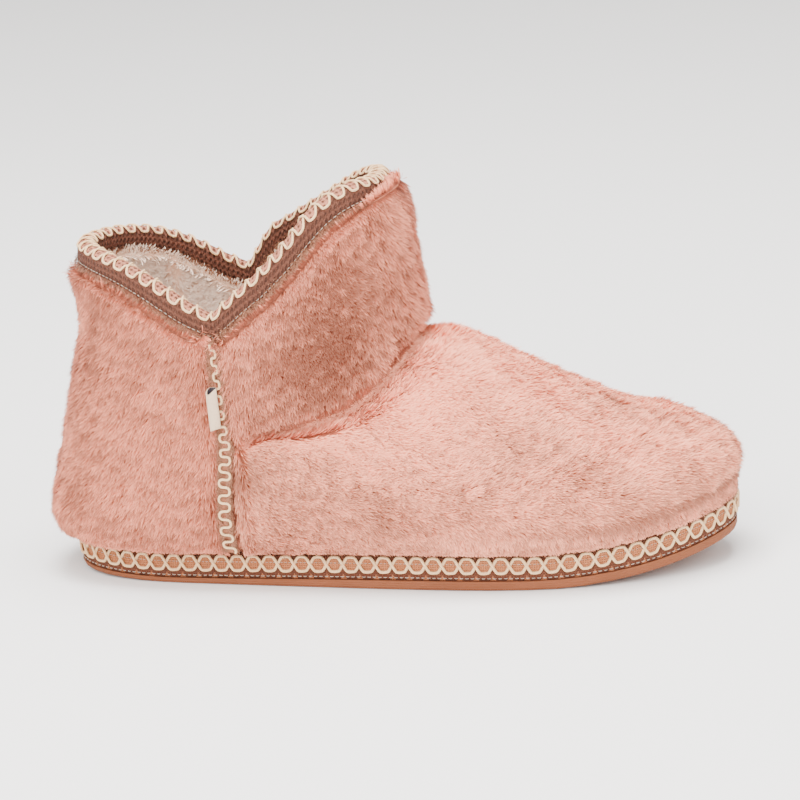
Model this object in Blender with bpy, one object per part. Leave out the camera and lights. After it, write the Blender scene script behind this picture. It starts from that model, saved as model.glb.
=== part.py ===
"""Right bootie slipper in plush fur cloth, toe along +X, outer side along -Y, standing on its sole.

Every ring of the upper runs round the shoe through the same columns: from the back centre along
the outer side to the toe and back along the inner side. The two side seams lie on one column each,
so whatever is sewn to a seam or to an edge is worked out from the upper's own rings.
"""

import bpy
import numpy as np

# Driving sizes, in metres
SOLE_LENGTH = 0.256
BALL_WIDTH = 0.091
TOE_SPRING = 0.0115
SPRING_START = 0.052  # ahead of mid-length, where the forefoot leaves the floor
HEEL_SPRING = 0.0018
HEEL_SPRING_START = 0.085  # behind mid-length, where the back of the heel leaves the floor
OUTSOLE_THICKNESS = 0.0052
RIM_HEIGHT = 0.0038  # bare side of the outsole under the tape, at the forefoot
HEEL_RIM_HEIGHT = 0.0020
SOLE_ROUND = 0.0012
TAPE_THICKNESS = 0.0018
SOLE_TAPE_HEIGHT = 0.0100
TAPE_EDGE = 0.0005  # softness of the tape's outer corners
INSOLE_THICKNESS = 0.0050

SEAM_BEHIND = 0.0605  # side seams, behind mid-length
NOTCH_BEHIND = 0.0630  # notches of the collar at their upper ends, behind mid-length
ANKLE_WIDTH = 0.0935
INSTEP_HEIGHT = 0.0945  # seam between vamp and shaft, at the front
INSTEP_FORWARD = 0.0126
ANKLE_SEAM_HEIGHT = 0.057  # the same seam at the sides
HEEL_ROLL_HEIGHT = 0.0205
HEEL_OVERHANG = 0.0105  # fur standing out past the sole at the back of the heel
HEEL_BACK_HEIGHT = 0.064

COLLAR_WIDTH = 0.085
COLLAR_FRONT = -0.0040
COLLAR_BACK = -0.1178
COLLAR_BACK_HEIGHT = 0.1280
COLLAR_NOTCH_HEIGHT = 0.1065
COLLAR_FRONT_HEIGHT = 0.1508
COLLAR_WALL = 0.0030
COLLAR_LEAN = 0.35  # share of the wall's own slope taken by the band under the collar's edge
COLLAR_TAPE_OUTSIDE = 0.0058
COLLAR_TAPE_INSIDE = 0.0064
COLLAR_TAPE_BEND = 0.0014  # depth over which the folded tape turns over the edge
FUR_LIP = 0.0022  # fur standing out past the collar tape
FRONT_FUR_LIP = 0.0062  # the same at the front
LINING_LIP = 0.0009  # lining standing out past it on the inside
FUR_OVER_TAPE = 0.0068  # how far the fur covers the collar tape at the front

WALL = 0.0090  # fur cloth, padding and lining together
FOOT_WALL = 0.0050  # the same behind the sole's tape
SEAM_TAPE_WIDTH = 0.0052
SEAM_TAPE_THICKNESS = 0.0016
SEAM_TROUGH = 0.0030
SEAM_SHOULDER = 0.0042
ANKLE_GROOVE = 0.0032

LABEL_HEIGHT = 0.0160
LABEL_LENGTH = 0.0058
LABEL_BOTTOM = 0.0650
LABEL_CLOTH = 0.0006
LABEL_OPENING = 0.0026

CLEARANCE = 0.0003

BACK_COLUMNS = 11
FRONT_COLUMNS = 21
SHAFT_FULLNESS = 2.35  # exponent of the rings' plan: 2 is an ellipse, more is squarer
COLLAR_BACK_FULLNESS = 1.8  # the collar's plan behind the notches, which is more pointed
TOE_FULLNESS = 2.4

# Half-widths of the sole as shares of half the ball's width, before its ends are rounded off
SOLE_OUTLINE = {
    "along": (-0.50, -0.38, -0.30, -0.145, 0.00, 0.16, 0.25, 0.31, 0.38, 0.43, 0.50),
    "outer": (0.96, 0.87, 0.83, 0.85, 0.93, 1.02, 1.05, 1.05, 1.04, 1.00, 0.90),
    "inner": (0.96, 0.86, 0.78, 0.70, 0.76, 0.98, 1.06, 1.10, 1.15, 1.18, 1.16),
}

# How far the fur stands out past the sole, as shares of the heel's overhang
OVERHANG = {
    "along": (-0.50, -0.25, 0.00, 0.20, 0.38, 0.50),
    "outer": (1.00, 1.05, 0.78, 0.62, 0.48, 0.06),
    "inner": (1.00, 1.15, 1.20, 0.62, 0.36, 0.06),
}

# Underside of the roll of fur: shares of the overhang and of the way up to the roll's widest ring
ROLL_UNDER = {"outward": (0.42, 0.80), "rise": (0.00, 0.28)}

# Rings of the foot between the roll of fur over the sole and the ankle seam.
# rise and inward are shares of the way to that seam, along the toe's and along the sides' walls.
FOOT_RINGS = {
    "toe_inward": (0.000, 0.010, 0.045, 0.115, 0.225, 0.350, 0.500, 0.660, 0.800, 0.915),
    "toe_rise": (0.030, 0.120, 0.215, 0.305, 0.395, 0.460, 0.575, 0.715, 0.850, 0.940),
    "side_inward": (0.000, 0.020, 0.060, 0.130, 0.240, 0.370, 0.520, 0.680, 0.820, 0.920),
    "side_rise": (0.040, 0.170, 0.310, 0.450, 0.580, 0.690, 0.790, 0.870, 0.930, 0.970),
    "swell": (0.30, 0.80, 1.00, 0.90, 0.70, 0.45, 0.32, 0.20, 0.10, 0.05),
}
FOOT_SWELL = 0.0025

# Back centre line from the roll of fur up to the collar: shares of the overhang and of the height
HEEL_LINE = {
    "height": (0.14, 0.20, 0.30, 0.42, 0.52, 0.65, 0.78, 0.90, 1.00),
    "outward": (0.90, 1.00, 0.78, 0.36, 0.12, -0.16, -0.26, -0.16, -0.50),
}

# Rise of a seam or edge over its lowest place, against the share of the way to its front or back
EDGE_RISES = {
    "along": (0.00, 0.16, 0.32, 0.48, 0.64, 0.80, 0.92, 1.00),
    "ankle_front": (0.000, 0.150, 0.190, 0.260, 0.380, 0.600, 0.850, 1.000),
    "collar_front_outer": (0.000, 0.185, 0.365, 0.580, 0.830, 0.980, 1.020, 1.000),
    "collar_front_inner": (0.000, 0.320, 0.460, 0.590, 0.725, 0.865, 0.950, 1.000),
    "collar_back": (0.000, 0.200, 0.450, 0.680, 0.850, 0.950, 0.990, 1.000),
    "heel_back": (0.000, 0.100, 0.280, 0.480, 0.680, 0.860, 0.970, 1.000),
}

# Rings of the shaft between the ankle seam and the collar, with their swell as a share of PUFF
SHAFT_RINGS = {
    "share": (0.07, 0.22, 0.42, 0.62, 0.80, 0.93),
    "swell": (0.70, 1.00, 0.80, 0.75, 0.95, 0.60),
}
PUFF = 0.0015
FRONT_FADE_SHARE = 0.10  # share of the way to the toe over which the shaft front's forms fade in
FRONT_BEGINS = 0.55  # place on that way where the fur begins to rise over the tape
FRONT_REACH = 0.40

# Soft troughs pressed into the fur. place runs from the back centre (0) to the toe (1) and ring counts
# up from the roll over the sole; reach and rings say how far the trough fades out along each.
CREASES = (
    {"place": 0.00, "ring": 14.2, "reach": 0.20, "rings": 1.1, "depth": 0.0030},
    {"place": 0.17, "ring": 14.8, "reach": 0.09, "rings": 0.8, "depth": 0.0012},
    {"place": 0.84, "ring": 6.4, "reach": 0.18, "rings": 0.45, "depth": 0.0010},
    {"place": 0.93, "ring": 5.0, "reach": 0.16, "rings": 0.40, "depth": 0.0009},
)

# Rings of the fur that the inside follows, counted from the ankle seam and going down
INNER_RINGS = (5, 3, 1, 0, -2, -4, -6, -8)

# Colour and roughness of each piece
FINISHES = {
    "outsole": ((0.46, 0.24, 0.13), 0.75),
    "insole": ((0.78, 0.65, 0.52), 0.90),
    "upper": ((0.62, 0.35, 0.29), 0.95),
    "tape": ((0.47, 0.27, 0.18), 0.85),
    "label": ((0.80, 0.62, 0.45), 0.80),
}


def smooth(x, xs, ys):
    """Cubic through the points (xs, ys), with the slope at each the mean of its two neighbours'."""
    x, xs, ys = np.asarray(x, float), np.asarray(xs, float), np.asarray(ys, float)
    slopes = np.gradient(ys, xs)
    k = np.clip(np.searchsorted(xs, x, side="right") - 1, 0, len(xs) - 2)
    width = xs[k + 1] - xs[k]
    s = np.clip((x - xs[k]) / width, 0.0, 1.0)
    start = (1 + 2 * s) * (1 - s) ** 2 * ys[k] + s * (1 - s) ** 2 * width * slopes[k]
    end = s**2 * (3 - 2 * s) * ys[k + 1] + s**2 * (s - 1) * width * slopes[k + 1]
    return start + end


def step(x):
    """Smooth step from 0 to 1."""
    x = np.clip(x, 0.0, 1.0)
    return x * x * (3 - 2 * x)


def column_shares():
    """Shares of the way from the outer seam (0) to the back centre (-1) or to the toe (+1)."""
    behind, ahead = 0.5 * SOLE_LENGTH - SEAM_BEHIND, 0.5 * SOLE_LENGTH + SEAM_BEHIND
    half_tape = (0.5 * SEAM_TAPE_WIDTH + CLEARANCE) / behind
    shoulder = half_tape + SEAM_SHOULDER / behind
    ratio = behind / ahead
    front = np.sin(0.5 * np.pi * np.linspace(0.0, 1.0, FRONT_COLUMNS))
    back = np.sin(0.5 * np.pi * np.linspace(1.0, 0.0, BACK_COLUMNS))
    back = -back[back > 1.5 * shoulder]
    front = front[front > 1.5 * shoulder * ratio]
    seam = np.array([-shoulder, -half_tape, 0.0, half_tape * ratio, shoulder * ratio])
    return np.concatenate([back, seam, front])


OUTER_SHARES = column_shares()
SHARE = np.concatenate([OUTER_SHARES, OUTER_SHARES[-2:0:-1]])
SIDE = np.concatenate([-np.ones(len(OUTER_SHARES)), np.ones(len(OUTER_SHARES) - 2)])
SIDE[[0, len(OUTER_SHARES) - 1]] = 0.0
COLUMNS = len(SHARE)
SEAM_COLUMN = int(np.argmin(np.abs(OUTER_SHARES)))
FRONT = SHARE >= 0.0
FORWARD = np.arcsin(np.clip(SHARE, 0.0, 1.0)) / (0.5 * np.pi)  # 0 at the side seams, 1 at the toe
ROUND = 0.5 + np.arcsin(SHARE) / np.pi  # 0 at the back centre, 0.5 at the side seams, 1 at the toe
BEHIND = np.clip(-SHARE, 0.0, 1.0)  # 0 at the side seams, 1 at the back centre


def by_side(table, along):
    """Values of a table's outer and inner columns at places along the sole, one per column of the ring."""
    outer = smooth(along, table["along"], table["outer"])
    inner = smooth(along, table["along"], table["inner"])
    return np.where(SIDE > 0, inner, np.where(SIDE < 0, outer, 0.5 * (inner + outer)))


def sole_plan(outset=0.0):
    """Outline of the sole seen from above, moved outwards by outset, as (columns, 2)."""
    half = 0.5 * SOLE_LENGTH
    seam = -SEAM_BEHIND
    x = np.where(FRONT, seam + (half - seam) * SHARE, seam + (half + seam) * SHARE)
    rounding = np.clip(1 - np.abs(x / half) ** TOE_FULLNESS, 0, 1) ** (1 / TOE_FULLNESS)
    y = SIDE * 0.5 * BALL_WIDTH * by_side(SOLE_OUTLINE, x / SOLE_LENGTH) * rounding
    plan = np.stack([x, y], axis=1)
    return plan + plan_normals(plan) * np.reshape(outset, (-1, 1))


def plan_normals(plan):
    """Outward unit normals of a closed ring seen from above."""
    ahead = np.roll(plan, -1, axis=0) - plan
    behind = plan - np.roll(plan, 1, axis=0)
    ahead /= np.linalg.norm(ahead, axis=1, keepdims=True)
    behind /= np.linalg.norm(behind, axis=1, keepdims=True)
    along = ahead + behind
    along /= np.linalg.norm(along, axis=1, keepdims=True)
    return np.stack([along[:, 1], -along[:, 0]], axis=1)


def round_plan(back, seam, front, width, back_fullness=SHAFT_FULLNESS):
    """Ring seen from above whose widest place is at the side seams."""
    x = np.where(FRONT, seam + (front - seam) * SHARE, seam + (seam - back) * SHARE)
    fullness = np.where(FRONT, SHAFT_FULLNESS, back_fullness)
    across = (1 - np.abs(SHARE) ** fullness) ** (1 / fullness)
    return np.stack([x, SIDE * 0.5 * width * across], axis=1)


def edge_heights(lowest, ends, rises):
    """Heights of a ring lowest at the side seams: ends are back and front, rises back, outer, inner."""
    share, along = np.abs(SHARE), EDGE_RISES["along"]
    back, outer, inner = (smooth(share, along, EDGE_RISES[name]) for name in rises)
    front = np.where(SIDE > 0, inner, outer)
    return lowest + np.where(FRONT, (ends[1] - lowest) * front, (ends[0] - lowest) * back)


def floor_lift(x):
    """Height of the sole's underside over the floor: the toe and heel springs, flat between them."""
    toe = np.clip((x - SPRING_START) / (0.5 * SOLE_LENGTH - SPRING_START), 0, None)
    heel = np.clip((-x - HEEL_SPRING_START) / (0.5 * SOLE_LENGTH - HEEL_SPRING_START), 0, None)
    return TOE_SPRING * toe**2 + HEEL_SPRING * heel**2


def rim_height():
    """Height of the outsole's bare side, lower round the heel."""
    x = sole_plan()[:, 0]
    return HEEL_RIM_HEIGHT + (RIM_HEIGHT - HEEL_RIM_HEIGHT) * step((x / SOLE_LENGTH + 0.45) / 0.5)


def on_sole(outset, height):
    """Ring that follows the sole's outline at a height over its underside, as (columns, 3)."""
    plan = sole_plan(outset)
    base = floor_lift(sole_plan()[:, 0])
    return np.column_stack([plan, base + height])


def tape_top():
    """Height of the sole tape's upper edge over the sole's underside."""
    return rim_height() + SOLE_TAPE_HEIGHT


def fur_overhang():
    """How far the fur stands out past the sole, one value per column."""
    return HEEL_OVERHANG * by_side(OVERHANG, sole_plan()[:, 0] / SOLE_LENGTH)


def roll_ring():
    """Widest ring of fur just over the sole's tape."""
    return on_sole(fur_overhang(), HEEL_ROLL_HEIGHT - HEEL_RIM_HEIGHT + rim_height())


def heel_line(height):
    """Place along the shoe of the back centre line at a height."""
    outward_share = smooth(height / COLLAR_BACK_HEIGHT, HEEL_LINE["height"], HEEL_LINE["outward"])
    return -0.5 * SOLE_LENGTH - HEEL_OVERHANG * float(outward_share)


def ankle_ring():
    """Seam between vamp and shaft at the front, and its level round the heel."""
    plan = round_plan(heel_line(HEEL_BACK_HEIGHT), -SEAM_BEHIND, INSTEP_FORWARD, ANKLE_WIDTH)
    ends = (HEEL_BACK_HEIGHT, INSTEP_HEIGHT)
    rises = ("heel_back", "ankle_front", "ankle_front")
    return np.column_stack([plan, edge_heights(ANKLE_SEAM_HEIGHT, ends, rises)])


def collar_edge():
    """Middle of the wall's top edge, under the folded tape."""
    plan = round_plan(COLLAR_BACK, -NOTCH_BEHIND, COLLAR_FRONT, COLLAR_WIDTH, COLLAR_BACK_FULLNESS)
    ends = (COLLAR_BACK_HEIGHT, COLLAR_FRONT_HEIGHT)
    rises = ("collar_back", "collar_front_outer", "collar_front_inner")
    return np.column_stack([plan, edge_heights(COLLAR_NOTCH_HEIGHT, ends, rises)])


def collar_down():
    """Unit directions down the wall from the collar's edge, between upright and the way to the ankle."""
    edge, below = collar_edge(), ankle_ring()
    along_wall = (below - edge) / np.linalg.norm(below - edge, axis=1, keepdims=True)
    down = COLLAR_LEAN * along_wall - (1 - COLLAR_LEAN) * np.array([0.0, 0.0, 1.0])
    return down / np.linalg.norm(down, axis=1, keepdims=True)


def collar_slant():
    """How much longer a band of even width is when measured down the wall, where the edge slopes."""
    edge = collar_edge()
    run = np.roll(edge, -1, axis=0) - np.roll(edge, 1, axis=0)
    level = np.linalg.norm(run[:, :2], axis=1)
    return np.clip(np.hypot(1.0, run[:, 2] / level), 1.0, 1.35)


def at_collar(outset, drop):
    """Ring beside the collar's edge: outset from the middle of the wall, drop below the edge."""
    edge = collar_edge()
    normals = plan_normals(edge[:, :2])
    ring = edge + collar_down() * np.reshape(drop * collar_slant(), (-1, 1))
    ring[:, :2] += normals * np.reshape(outset, (-1, 1))
    return ring


def foot_rings():
    """Rings from the roll of fur to the ankle seam, over the vamp and round the heel."""
    low, high = roll_ring(), ankle_ring()
    ahead = step(2 * FORWARD)[:, None]
    normals = np.column_stack([plan_normals(low[:, :2]), np.zeros(COLUMNS)])
    rings = []
    for k in range(len(FOOT_RINGS["toe_rise"])):
        inward = FOOT_RINGS["side_inward"][k] * (1 - ahead) + FOOT_RINGS["toe_inward"][k] * ahead
        rise = FOOT_RINGS["side_rise"][k] * (1 - ahead) + FOOT_RINGS["toe_rise"][k] * ahead
        share = np.concatenate([inward, inward, rise], axis=1)
        ring = low + (high - low) * share + normals * FOOT_SWELL * FOOT_RINGS["swell"][k]
        rings.append(heel_shaped(ring))
    return rings


def heel_shaped(ring):
    """The ring with its back drawn to the heel's centre line, fading out towards the side seams."""
    drawn = ring.copy()
    drawn[:, 0] += (heel_line(float(ring[0, 2])) - ring[0, 0]) * BEHIND**2
    return drawn


def at_front():
    """Share by which a column lies in the shaft's front."""
    return step((FORWARD - FRONT_BEGINS) / FRONT_REACH)


def shaft_rings():
    """Rings from the ankle seam to the lip of fur below the collar's tape."""
    low, high = ankle_ring(), fur_end()
    puff = PUFF * step(FORWARD / FRONT_FADE_SHARE)[:, None]
    normals = np.column_stack([plan_normals(low[:, :2]), np.zeros(COLUMNS)])
    rings = []
    for share, swell in zip(SHAFT_RINGS["share"], SHAFT_RINGS["swell"]):
        ring = low + (high - low) * share + normals * puff * swell
        rings.append(heel_shaped(ring))
    return rings


def fur_lip(past_tape):
    """Upper end of the fur below the collar's tape, risen over it at the front."""
    outset = 0.5 * COLLAR_WALL + TAPE_THICKNESS + past_tape
    return at_collar(outset, COLLAR_TAPE_OUTSIDE + 4 * CLEARANCE - FUR_OVER_TAPE * at_front())


def fur_end():
    """Outer corner of the fur's upper end, which stands out further at the front."""
    return fur_lip(FUR_LIP + (FRONT_FUR_LIP - FUR_LIP) * at_front())


def outward(grid):
    """Unit normals of a grid of rings that point out of the shoe."""
    round_way = np.roll(grid, -1, axis=1) - np.roll(grid, 1, axis=1)
    up_way = np.gradient(grid, axis=0)
    normals = np.cross(round_way, up_way)
    return normals / np.linalg.norm(normals, axis=2, keepdims=True)


def evened(normals):
    """Normals averaged with their neighbours', so that the inside isn't folded by a crease outside."""
    for _ in range(4):
        normals = normals + 0.5 * (np.roll(normals, 1, axis=1) + np.roll(normals, -1, axis=1))
        padded = np.concatenate([normals[:1], normals, normals[-1:]])
        normals = normals + 0.5 * (padded[:-2] + padded[2:])
        normals = normals / np.linalg.norm(normals, axis=2, keepdims=True)
    return normals


def fur_grid():
    """Rings of the fur from the roll over the sole to the lip under the collar's tape, creased."""
    grid = np.array([*foot_rings(), ankle_ring(), *shaft_rings(), fur_end()])
    normals = outward(grid)
    rows = np.arange(len(grid))[:, None]
    depth = np.zeros(grid.shape[:2])
    for crease in CREASES:
        across = np.exp(-(((ROUND[None, :] - crease["place"]) / crease["reach"]) ** 2))
        along = np.exp(-(((rows - crease["ring"]) / crease["rings"]) ** 2))
        depth += crease["depth"] * across * along
    groove_row = len(FOOT_RINGS["toe_rise"])
    depth[groove_row] += ANKLE_GROOVE * step(FORWARD / FRONT_FADE_SHARE)
    return grid - normals * depth[:, :, None]


def seam_trough():
    """Depth of the trough along each side seam, one value per column."""
    near = np.abs(np.arange(COLUMNS) - SEAM_COLUMN)
    far = np.abs(np.arange(COLUMNS) - (COLUMNS - SEAM_COLUMN))
    return SEAM_TROUGH * (np.minimum(near, far) <= 1)


def outer_wall():
    """Outside of the upper from its lower edge to the top: recess, fur, recess under the collar's tape."""
    inset = -(TAPE_THICKNESS + 2 * CLEARANCE)
    overhang, trough = fur_overhang(), seam_trough()
    fur = fur_grid()
    fur -= outward(fur) * trough[:, None]
    low = tape_top() + 4 * CLEARANCE
    roll = HEEL_ROLL_HEIGHT - HEEL_RIM_HEIGHT - SOLE_TAPE_HEIGHT
    past_tape = np.minimum(2 * CLEARANCE, FUR_LIP - trough)
    under = COLLAR_TAPE_OUTSIDE + 2 * CLEARANCE
    rows = [
        on_sole(inset, np.full(COLUMNS, OUTSOLE_THICKNESS + CLEARANCE)),
        on_sole(inset, tape_top() + CLEARANCE),
        on_sole(ROLL_UNDER["outward"][0] * overhang - 0.5 * trough, low),
        on_sole(ROLL_UNDER["outward"][1] * overhang - trough, low + ROLL_UNDER["rise"][1] * roll),
        *fur,
        fur_lip(past_tape),
        at_collar(0.5 * COLLAR_WALL + TAPE_THICKNESS + past_tape, under),
        at_collar(0.5 * COLLAR_WALL, under),
        at_collar(0.5 * COLLAR_WALL, 0.0),
    ]
    return np.array(rows)


def inner_wall():
    """Inside of the upper from the collar's edge down to its lower edge."""
    fur = fur_grid()
    bare = fur - evened(outward(fur)) * WALL
    ankle = len(FOOT_RINGS["toe_rise"])
    inset = -(TAPE_THICKNESS + 2 * CLEARANCE + FOOT_WALL)
    lining = -0.5 * COLLAR_WALL - TAPE_THICKNESS - LINING_LIP
    rows = [
        at_collar(-0.5 * COLLAR_WALL, 0.0),
        at_collar(-0.5 * COLLAR_WALL, COLLAR_TAPE_INSIDE + 2 * CLEARANCE),
        at_collar(lining, COLLAR_TAPE_INSIDE + 6 * CLEARANCE),
        *(bare[ankle + k] for k in INNER_RINGS),
        on_sole(inset, np.full(COLUMNS, OUTSOLE_THICKNESS + INSOLE_THICKNESS)),
        on_sole(inset, np.full(COLUMNS, OUTSOLE_THICKNESS + CLEARANCE)),
    ]
    return np.array(rows)


def object_of(name, finish, points, faces):
    """One named object with its own material, shaded smooth but for its sharp edges."""
    mesh = bpy.data.meshes.new(name)
    mesh.from_pydata(np.asarray(points).tolist(), [], faces)
    mesh.update()
    colour, roughness = FINISHES[finish]
    material = bpy.data.materials.new(name)
    material.use_nodes = True
    shader = material.node_tree.nodes["Principled BSDF"]
    shader.inputs["Base Color"].default_value = (*colour, 1.0)
    shader.inputs["Roughness"].default_value = roughness
    shader.inputs["Metallic"].default_value = 0.0
    mesh.materials.append(material)
    mesh.shade_smooth()
    mesh.set_sharp_from_angle(angle=np.radians(50))
    made = bpy.data.objects.new(name, mesh)
    bpy.context.scene.collection.objects.link(made)
    return made


def tube_faces(rows, columns, closed_rows=True, closed_columns=True):
    """Quads over a grid of rings whose first ring comes lowest on the outside."""
    faces = []
    for r in range(rows if closed_rows else rows - 1):
        for c in range(columns if closed_columns else columns - 1):
            d = (c + 1) % columns
            q = (r + 1) % rows
            faces.append((r * columns + c, r * columns + d, q * columns + d, q * columns + c))
    return faces


def ring_solid(name, finish, rows):
    """Closed solid whose section is a loop of rings carried round the shoe."""
    grid = np.array(rows)
    return object_of(name, finish, grid.reshape(-1, 3), tube_faces(len(grid), grid.shape[1]))


def plate_solid(name, finish, rows):
    """Closed plate whose edge is a list of rings, with its two faces spanned straight across."""
    grid = np.array(rows)
    count, columns = grid.shape[:2]
    faces = tube_faces(count, columns, closed_rows=False)
    last = (count - 1) * columns
    half = columns // 2
    for c in range(half):
        a, b = c, c + 1
        e, f = (columns - b) % columns, (columns - a) % columns
        low = [a, f, e, b] if c else [a, e, b]
        if b == half:
            low = [a, f, b]
        faces.append(tuple(low))
        faces.append(tuple(last + k for k in reversed(low)))
    return object_of(name, finish, grid.reshape(-1, 3), faces)


def strip_solid(name, finish, low, high):
    """Closed strip between two grids of the same size, the first one nearer the shoe."""
    rows, columns = low.shape[:2]
    points = np.concatenate([low.reshape(-1, 3), high.reshape(-1, 3)])
    size = rows * columns
    top = [tuple(size + k for k in face) for face in tube_faces(rows, columns, False, False)]
    under = [tuple(reversed(face)) for face in tube_faces(rows, columns, False, False)]
    border = list(range(columns))
    border += [r * columns + columns - 1 for r in range(1, rows)]
    border += [(rows - 1) * columns + c for c in range(columns - 2, -1, -1)]
    border += [r * columns for r in range(rows - 2, 0, -1)]
    walls = [(a, b, size + b, size + a) for a, b in zip(border, border[1:] + border[:1])]
    return object_of(name, finish, points, top + under + walls)


def build_outsole():
    """Flat sole with toe spring, a rounded lower edge, a bare rim and a rebate for the tape."""
    rebate = -(TAPE_THICKNESS + CLEARANCE)
    rim = rim_height()
    corner = (1 - np.sqrt(0.5)) * SOLE_ROUND
    rows = [
        on_sole(-SOLE_ROUND, np.zeros(COLUMNS)),
        on_sole(-corner, np.full(COLUMNS, corner)),
        on_sole(0.0, np.full(COLUMNS, SOLE_ROUND)),
        on_sole(0.0, rim),
        on_sole(rebate, rim),
        on_sole(rebate, np.full(COLUMNS, OUTSOLE_THICKNESS)),
    ]
    plate_solid("outsole", "outsole", rows)


def build_insole():
    """Footbed that lies on the outsole inside the upper's lower edge."""
    inset = -(TAPE_THICKNESS + 3 * CLEARANCE + FOOT_WALL)
    low = OUTSOLE_THICKNESS + CLEARANCE
    high = low + INSOLE_THICKNESS
    bevel = 0.3 * INSOLE_THICKNESS
    rows = [
        on_sole(inset, np.full(COLUMNS, low)),
        on_sole(inset, np.full(COLUMNS, high - bevel)),
        on_sole(inset - bevel, np.full(COLUMNS, high)),
    ]
    plate_solid("insole", "insole", rows)


def build_upper():
    ring_solid("upper", "upper", [*outer_wall(), *inner_wall()])


def build_sole_trim():
    """Woven tape round the edge of the sole, standing on the outsole's rim."""
    low = rim_height() + CLEARANCE
    top = tape_top()
    rows = [
        on_sole(-TAPE_THICKNESS, low),
        on_sole(-TAPE_EDGE, low),
        on_sole(0.0, low + TAPE_EDGE),
        on_sole(0.0, top - TAPE_EDGE),
        on_sole(-TAPE_EDGE, top),
        on_sole(-TAPE_THICKNESS, top),
    ]
    ring_solid("sole_trim", "tape", rows)


def build_collar_trim():
    """Woven tape folded over the collar's edge."""
    near = 0.5 * COLLAR_WALL + CLEARANCE
    far = near + TAPE_THICKNESS
    fold = -(0.75 * TAPE_THICKNESS + CLEARANCE)
    rows = [
        at_collar(near, COLLAR_TAPE_OUTSIDE),
        at_collar(far, COLLAR_TAPE_OUTSIDE),
        at_collar(far, COLLAR_TAPE_BEND),
        at_collar(0.55 * far, fold),
        at_collar(-0.55 * far, fold),
        at_collar(-far, COLLAR_TAPE_BEND),
        at_collar(-far, COLLAR_TAPE_INSIDE),
        at_collar(-near, COLLAR_TAPE_INSIDE),
        at_collar(-near, -CLEARANCE),
        at_collar(near, -CLEARANCE),
    ]
    ring_solid("collar_trim", "tape", rows)


def seam_bed(column):
    """Bottom of a side seam's trough and its outward normals, over the three columns of the tape."""
    wall = outer_wall()[3:-4]
    normals = outward(wall)
    chosen = [column - 1, column, column + 1]
    return wall[:, chosen], normals[:, chosen]


def build_side_trim(name, column):
    """Narrow tape in the trough of one side seam."""
    bed, normals = seam_bed(column)
    middle = normals[:, 1:2]
    narrower = 1 - CLEARANCE / (0.5 * SEAM_TAPE_WIDTH + CLEARANCE)
    low = bed[:, 1:2] + (bed - bed[:, 1:2]) * narrower + middle * CLEARANCE
    strip_solid(name, "tape", low, low + middle * SEAM_TAPE_THICKNESS)


def build_label():
    """Ribbon folded in two, sewn on over the outer seam's tape with its fold towards the heel."""
    bed, normals = seam_bed(SEAM_COLUMN)
    tape = bed + normals * (CLEARANCE + SEAM_TAPE_THICKNESS)
    heights = LABEL_BOTTOM + LABEL_HEIGHT * np.linspace(0.0, 1.0, 3)
    root, behind = (at_heights(tape[:, k], heights) for k in (1, 0))
    back = (behind - root) * (1.0, 1.0, 0.0)
    back /= np.linalg.norm(back, axis=1, keepdims=True)
    out = np.column_stack([-back[:, 1], back[:, 0], back[:, 2]])
    bend = 0.5 * LABEL_OPENING + LABEL_CLOTH
    turn = np.radians(np.linspace(-90.0, 90.0, 7))
    sides = []
    for radius in (bend, bend - LABEL_CLOTH):
        along = np.concatenate([[0.0], LABEL_LENGTH - bend + radius * np.cos(turn), [0.0]])
        off = CLEARANCE + bend + radius * np.concatenate([[-1.0], np.sin(turn), [1.0]])
        sides.append((along, off))
    along = np.concatenate([sides[0][0], sides[1][0][::-1]])
    off = np.concatenate([sides[0][1], sides[1][1][::-1]])
    grid = root[:, None] + back[:, None] * along[None, :, None] + out[:, None] * off[None, :, None]
    rows, columns = grid.shape[:2]
    faces = tube_faces(rows, columns, closed_rows=False)
    last = (rows - 1) * columns
    for k in range(columns // 2 - 1):
        cap = (k, columns - 1 - k, columns - 2 - k, k + 1)
        faces.append(cap)
        faces.append(tuple(last + c for c in reversed(cap)))
    object_of("tab_label", "label", grid.reshape(-1, 3), faces)


def at_heights(line, heights):
    """Points of a line that climbs the upper, at the given heights."""
    return np.column_stack([np.interp(heights, line[:, 2], line[:, axis]) for axis in range(3)])


def clear_scene():
    for thing in list(bpy.data.objects):
        bpy.data.objects.remove(thing, do_unlink=True)


def main():
    clear_scene()
    build_outsole()
    build_insole()
    build_upper()
    build_sole_trim()
    build_collar_trim()
    build_side_trim("side_trim_lateral", SEAM_COLUMN)
    build_side_trim("side_trim_medial", COLUMNS - SEAM_COLUMN)
    build_label()


main()
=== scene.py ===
"""Looks of a right bootie slipper in plush fur cloth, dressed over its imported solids.

The shoe stands with its toe along +X, its outer side along -Y and its sole on Z = 0, in metres.
Every surface is a grid of rings that run round the shoe from the back centre along the outer side
to the toe and back along the inner side, the same rings that the solids are made from.
"""

from __future__ import annotations

import logging
from dataclasses import dataclass, field, replace
from enum import Enum

import bpy
import numpy as np
from mathutils import Matrix

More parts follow.
